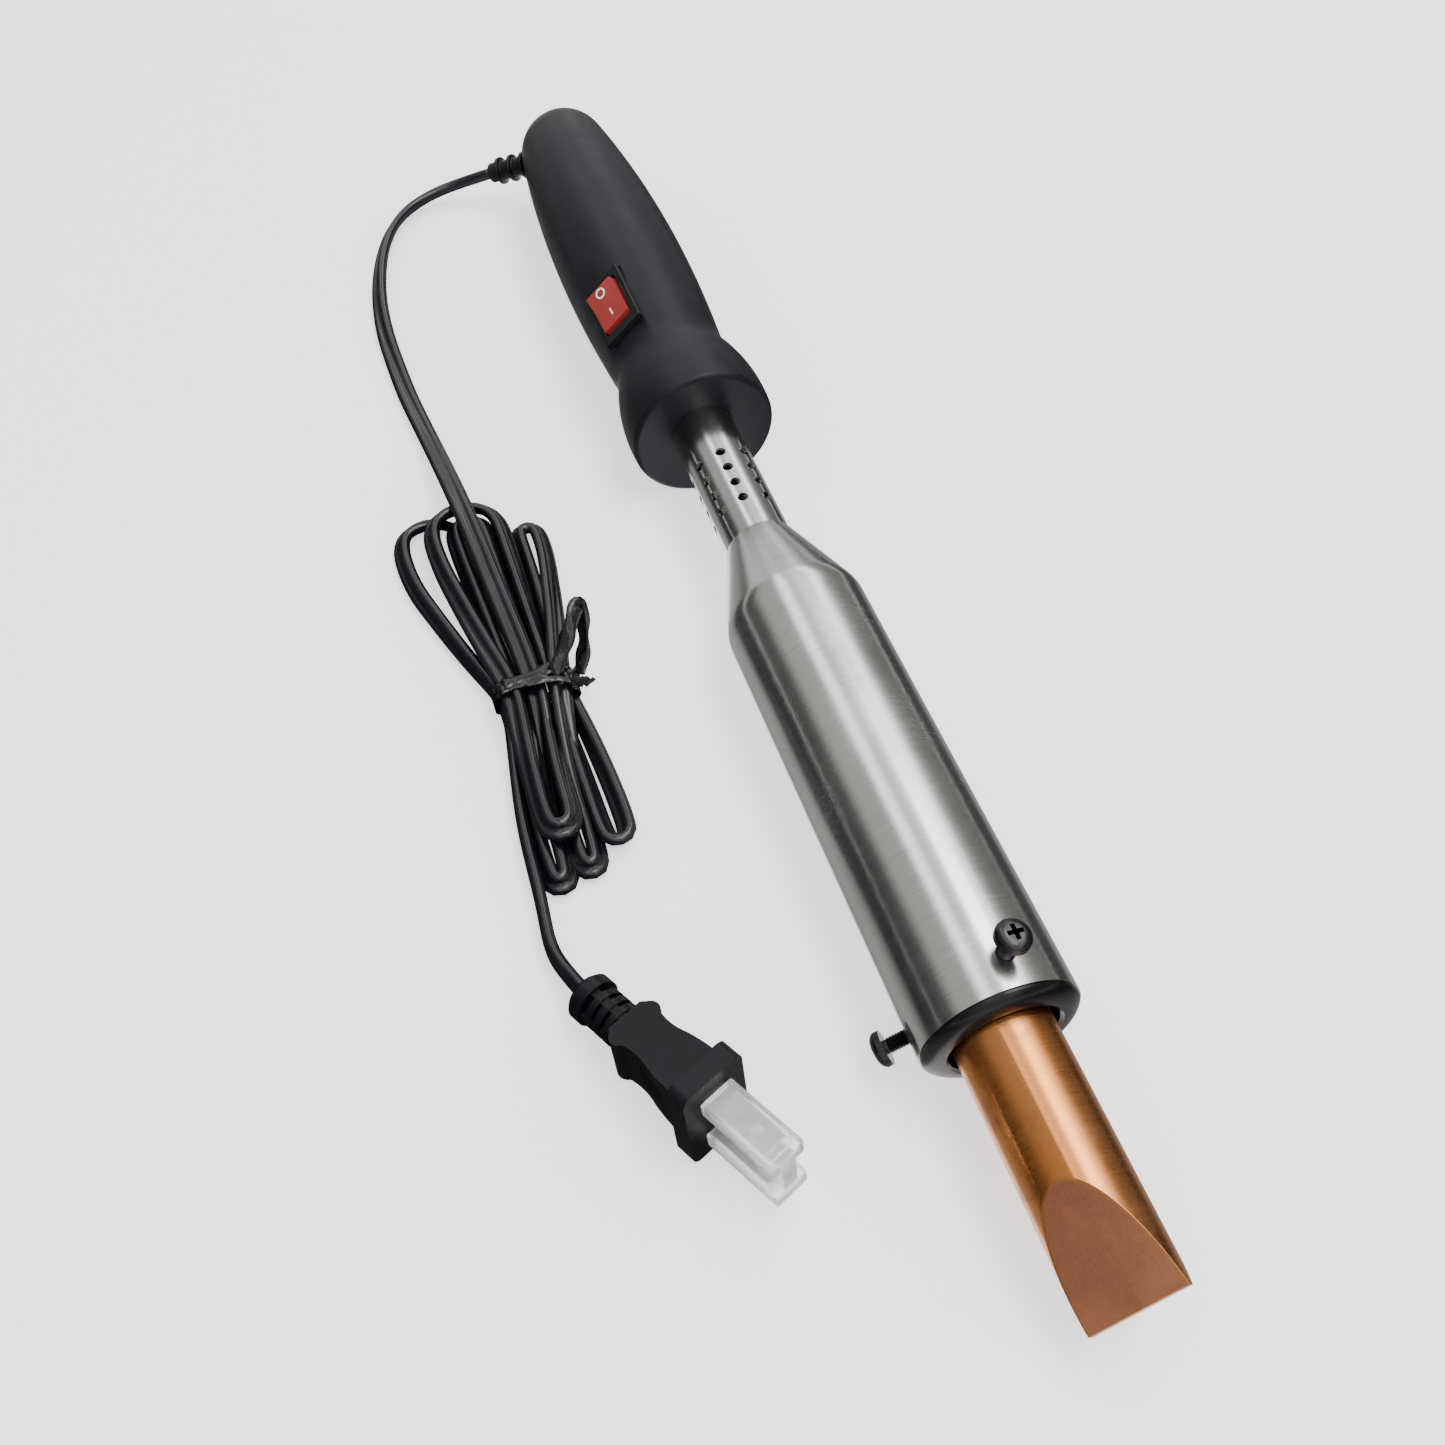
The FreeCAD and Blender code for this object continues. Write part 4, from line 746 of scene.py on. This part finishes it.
paint(moulded("cord_black", (0.0045, 0.0055, 0.0085), 0.22, 1.2, 0.030, 0.10), cord_piece,
      "inner_cord")
paint(moulded("boot_black", (0.004, 0.004, 0.0045), 0.36, 3.0, 0.02, specular=0.3), boot_piece)
paint(moulded("plug_black", (0.003, 0.0036, 0.0058), 0.36, 3.0, 0.02, specular=0.2), plug_piece,
      *rib_pieces)
paint(moulded("tie_black", (0.003, 0.003, 0.0035), 0.13, 0.9, 0.12, 0.08), *tie_pieces)
paint(moulded("cover_milky", (0.93, 0.94, 0.95), 0.26, 1.5, 0.02, 0.10, transmission=0.80,
              ior=1.45), cover_piece)
paint(moulded("wire_red", (0.45, 0.02, 0.02), 0.35), "live_core")
paint(moulded("wire_white", (0.78, 0.77, 0.74), 0.35), "neutral_core")
paint(moulded("nylon_white", (0.74, 0.73, 0.69), 0.45), "inner_cable_tie", "crimp_connector",
      "switch_plunger")
paint(plain_metal("brass_contacts", (0.80, 0.60, 0.30), 0.28, (0.50, 0.33, 0.16)), "contact_arm",
      "switch_terminals")
paint(plain_metal("blade_metal", (0.78, 0.74, 0.66), 0.22, (0.55, 0.50, 0.42), (6, 0.2, 0.2)),
      "plug_blades")
paint(plain_metal("spring_wire", (0.60, 0.60, 0.60), 0.25, (0.40, 0.38, 0.35)), "switch_spring")
paint(plain_metal("heater_steel", (0.42, 0.40, 0.38), 0.40, (0.22, 0.16, 0.13)), "heater_tube")
paint(plain_metal("ribbon_nichrome", (0.36, 0.33, 0.31), 0.38, (0.16, 0.14, 0.14)),
      "heating_ribbon", "switched_lead", "neutral_lead")
paint(mineral("mica_sheet", (0.62, 0.50, 0.32), (0.30, 0.21, 0.11), 0.40, 0.7, 0.03, (0.4, 1, 1)),
      "mica_sleeve", "mica_wrap")
paint(mineral("ceramic_wool", (0.88, 0.87, 0.83), (0.66, 0.64, 0.58), 0.98, 1.8, 0.35),
      "insulation_blanket")
paint(mineral("ceramic_white", (0.86, 0.82, 0.74), (0.74, 0.69, 0.60), 0.55, 2.5, 0.02),
      "ceramic_disc")
paint(mineral("glass_braid", (0.86, 0.85, 0.80), (0.58, 0.56, 0.50), 0.85, 3.5, 0.12, (0.5, 2, 2)),
      "lead_sleeves")

# ---------------------------------------------------------------- floor and light

FLOOR_HALF = 40  # metres
FLOOR_GLOW, WORLD_GLOW = 1.15, 0.9

floor = new_object("floor", [(x * FLOOR_HALF, y * FLOOR_HALF, 0)
                             for x, y in ((-1, -1), (1, -1), (1, 1), (-1, 1))],
                   [(0, 1, 2, 3)], smooth=False)
floor_look = Finish("floor_pale", base=(0.93, 0.93, 0.93, 1), rough=0.85)
floor_look.shader.inputs["Emission Color"].default_value = (1, 1, 1, 1)
floor_look.shader.inputs["Emission Strength"].default_value = FLOOR_GLOW
paint(floor_look, floor)

world = bpy.data.worlds.new("studio")
world.use_nodes = True
world_glow = world.node_tree.nodes["Background"].inputs
world_glow["Color"].default_value = (1, 1, 1, 1)
world_glow["Strength"].default_value = WORLD_GLOW
scene.world = world

# The room as the metal mirrors it: a half cylinder round the iron's length that only mirror-like
# surfaces see. Each stop is (degrees up from +Y, brightness).
ROOM_BANDS = [(0, 0.15), (30, 0.28), (42, 0.60), (55, 3.6), (66, 1.4), (80, 1.6), (94, 0.95),
              (106, 3.4), (117, 0.55), (143, 0.60), (158, 0.12), (180, 0.04)]
ROOM_BRIGHTEST = max(bright for _, bright in ROOM_BANDS)
ROOM_RADIUS, ROOM_REACH = 2.5, 6.0  # metres
ROOM_SIDES = 48


def card_look(name):
    """A card's finish: black but for what it is told to show."""
    return Finish(name, base=(0, 0, 0, 1), rough=1.0, specular=0.0)


room_look = card_look("room_mirrored")
room_axes = room_look.axes()
room_turn = room_look.math("ARCTAN2", room_axes["Z"], room_axes["Y"])
bands = room_look.add("ShaderNodeValToRGB")
stops = bands.color_ramp.elements
while len(stops) < len(ROOM_BANDS):
    stops.new(0.5)
for stop, (angle, bright) in zip(stops, ROOM_BANDS):
    stop.position = angle / 180
    stop.color = (*(bright / ROOM_BRIGHTEST,) * 3, 1)
room_look.link(room_look.math("DIVIDE", room_turn, math.pi), bands.inputs["Fac"])
room_look.link(bands.outputs["Color"], room_look.shader.inputs["Emission Color"])
room_look.shader.inputs["Emission Strength"].default_value = ROOM_BRIGHTEST


def for_mirrors_only(card):
    """A studio card that shows in reflections alone."""
    card.visible_camera = card.visible_diffuse = card.visible_shadow = False
    card.visible_transmission = card.visible_volume_scatter = False
    return card


arch = [(x, ROOM_RADIUS * math.cos(a), ROOM_RADIUS * math.sin(a))
        for a in np.linspace(0, math.pi, ROOM_SIDES + 1) for x in (-ROOM_REACH, ROOM_REACH)]
room = for_mirrors_only(new_object("room", arch, [(i, i + 1, i + 3, i + 2)
                                                  for i in range(0, len(arch) - 2, 2)]))
paint(room_look, room)


def add_light(name, at, target, size, size_y, power):
    """An oblong area light looking at target; places and sizes in metres."""
    data = bpy.data.lights.new(name, "AREA")
    data.shape = "RECTANGLE"
    data.size, data.size_y = size, size_y
    data.energy = power
    light = bpy.data.objects.new(name, data)
    light.location = at
    light.rotation_euler = (Vector(target) - Vector(at)).to_track_quat("-Z", "Y").to_euler()
    scene.collection.objects.link(light)


add_light("key", at=(0.1, 0.35, 1.4), target=(0, 0, 0), size=1.6, size_y=0.5, power=16)

# A darker bench top that only mirror-like surfaces see, for the depth of their reflections.
# It lies in a strip on each side of the iron and gets darker away from it.
BENCH_NEAR_GREY, BENCH_FAR_GREY = 0.36, 0.03
BENCH_INNER, BENCH_OUTER, BENCH_FADE = 19.0, 1500.0, (25, 90)
BENCH_BACK, BENCH_FRONT, BENCH_LIFT = -600, 500, 0.05

bench_look = card_look("bench_mirrored")
away = bench_look.math("ABSOLUTE", bench_look.axes()["Y"])
bench_look.colour(bench_look.mix(bench_look.spread(away, *BENCH_FADE), (BENCH_NEAR_GREY,) * 3,
                                 (BENCH_FAR_GREY,) * 3))
bench_pieces = []
for side in (-1, 1):
    inner, outer = side * BENCH_INNER, side * BENCH_OUTER
    corners = [mm(x, y, BENCH_LIFT) for x, y in (
        (BENCH_BACK, inner), (BENCH_FRONT, inner), (BENCH_FRONT, outer), (BENCH_BACK, outer))]
    card = new_object(f"bench_{side}", corners, [(0, 1, 2, 3)], smooth=False)
    bench_pieces.append(for_mirrors_only(card))
paint(bench_look, *bench_pieces)
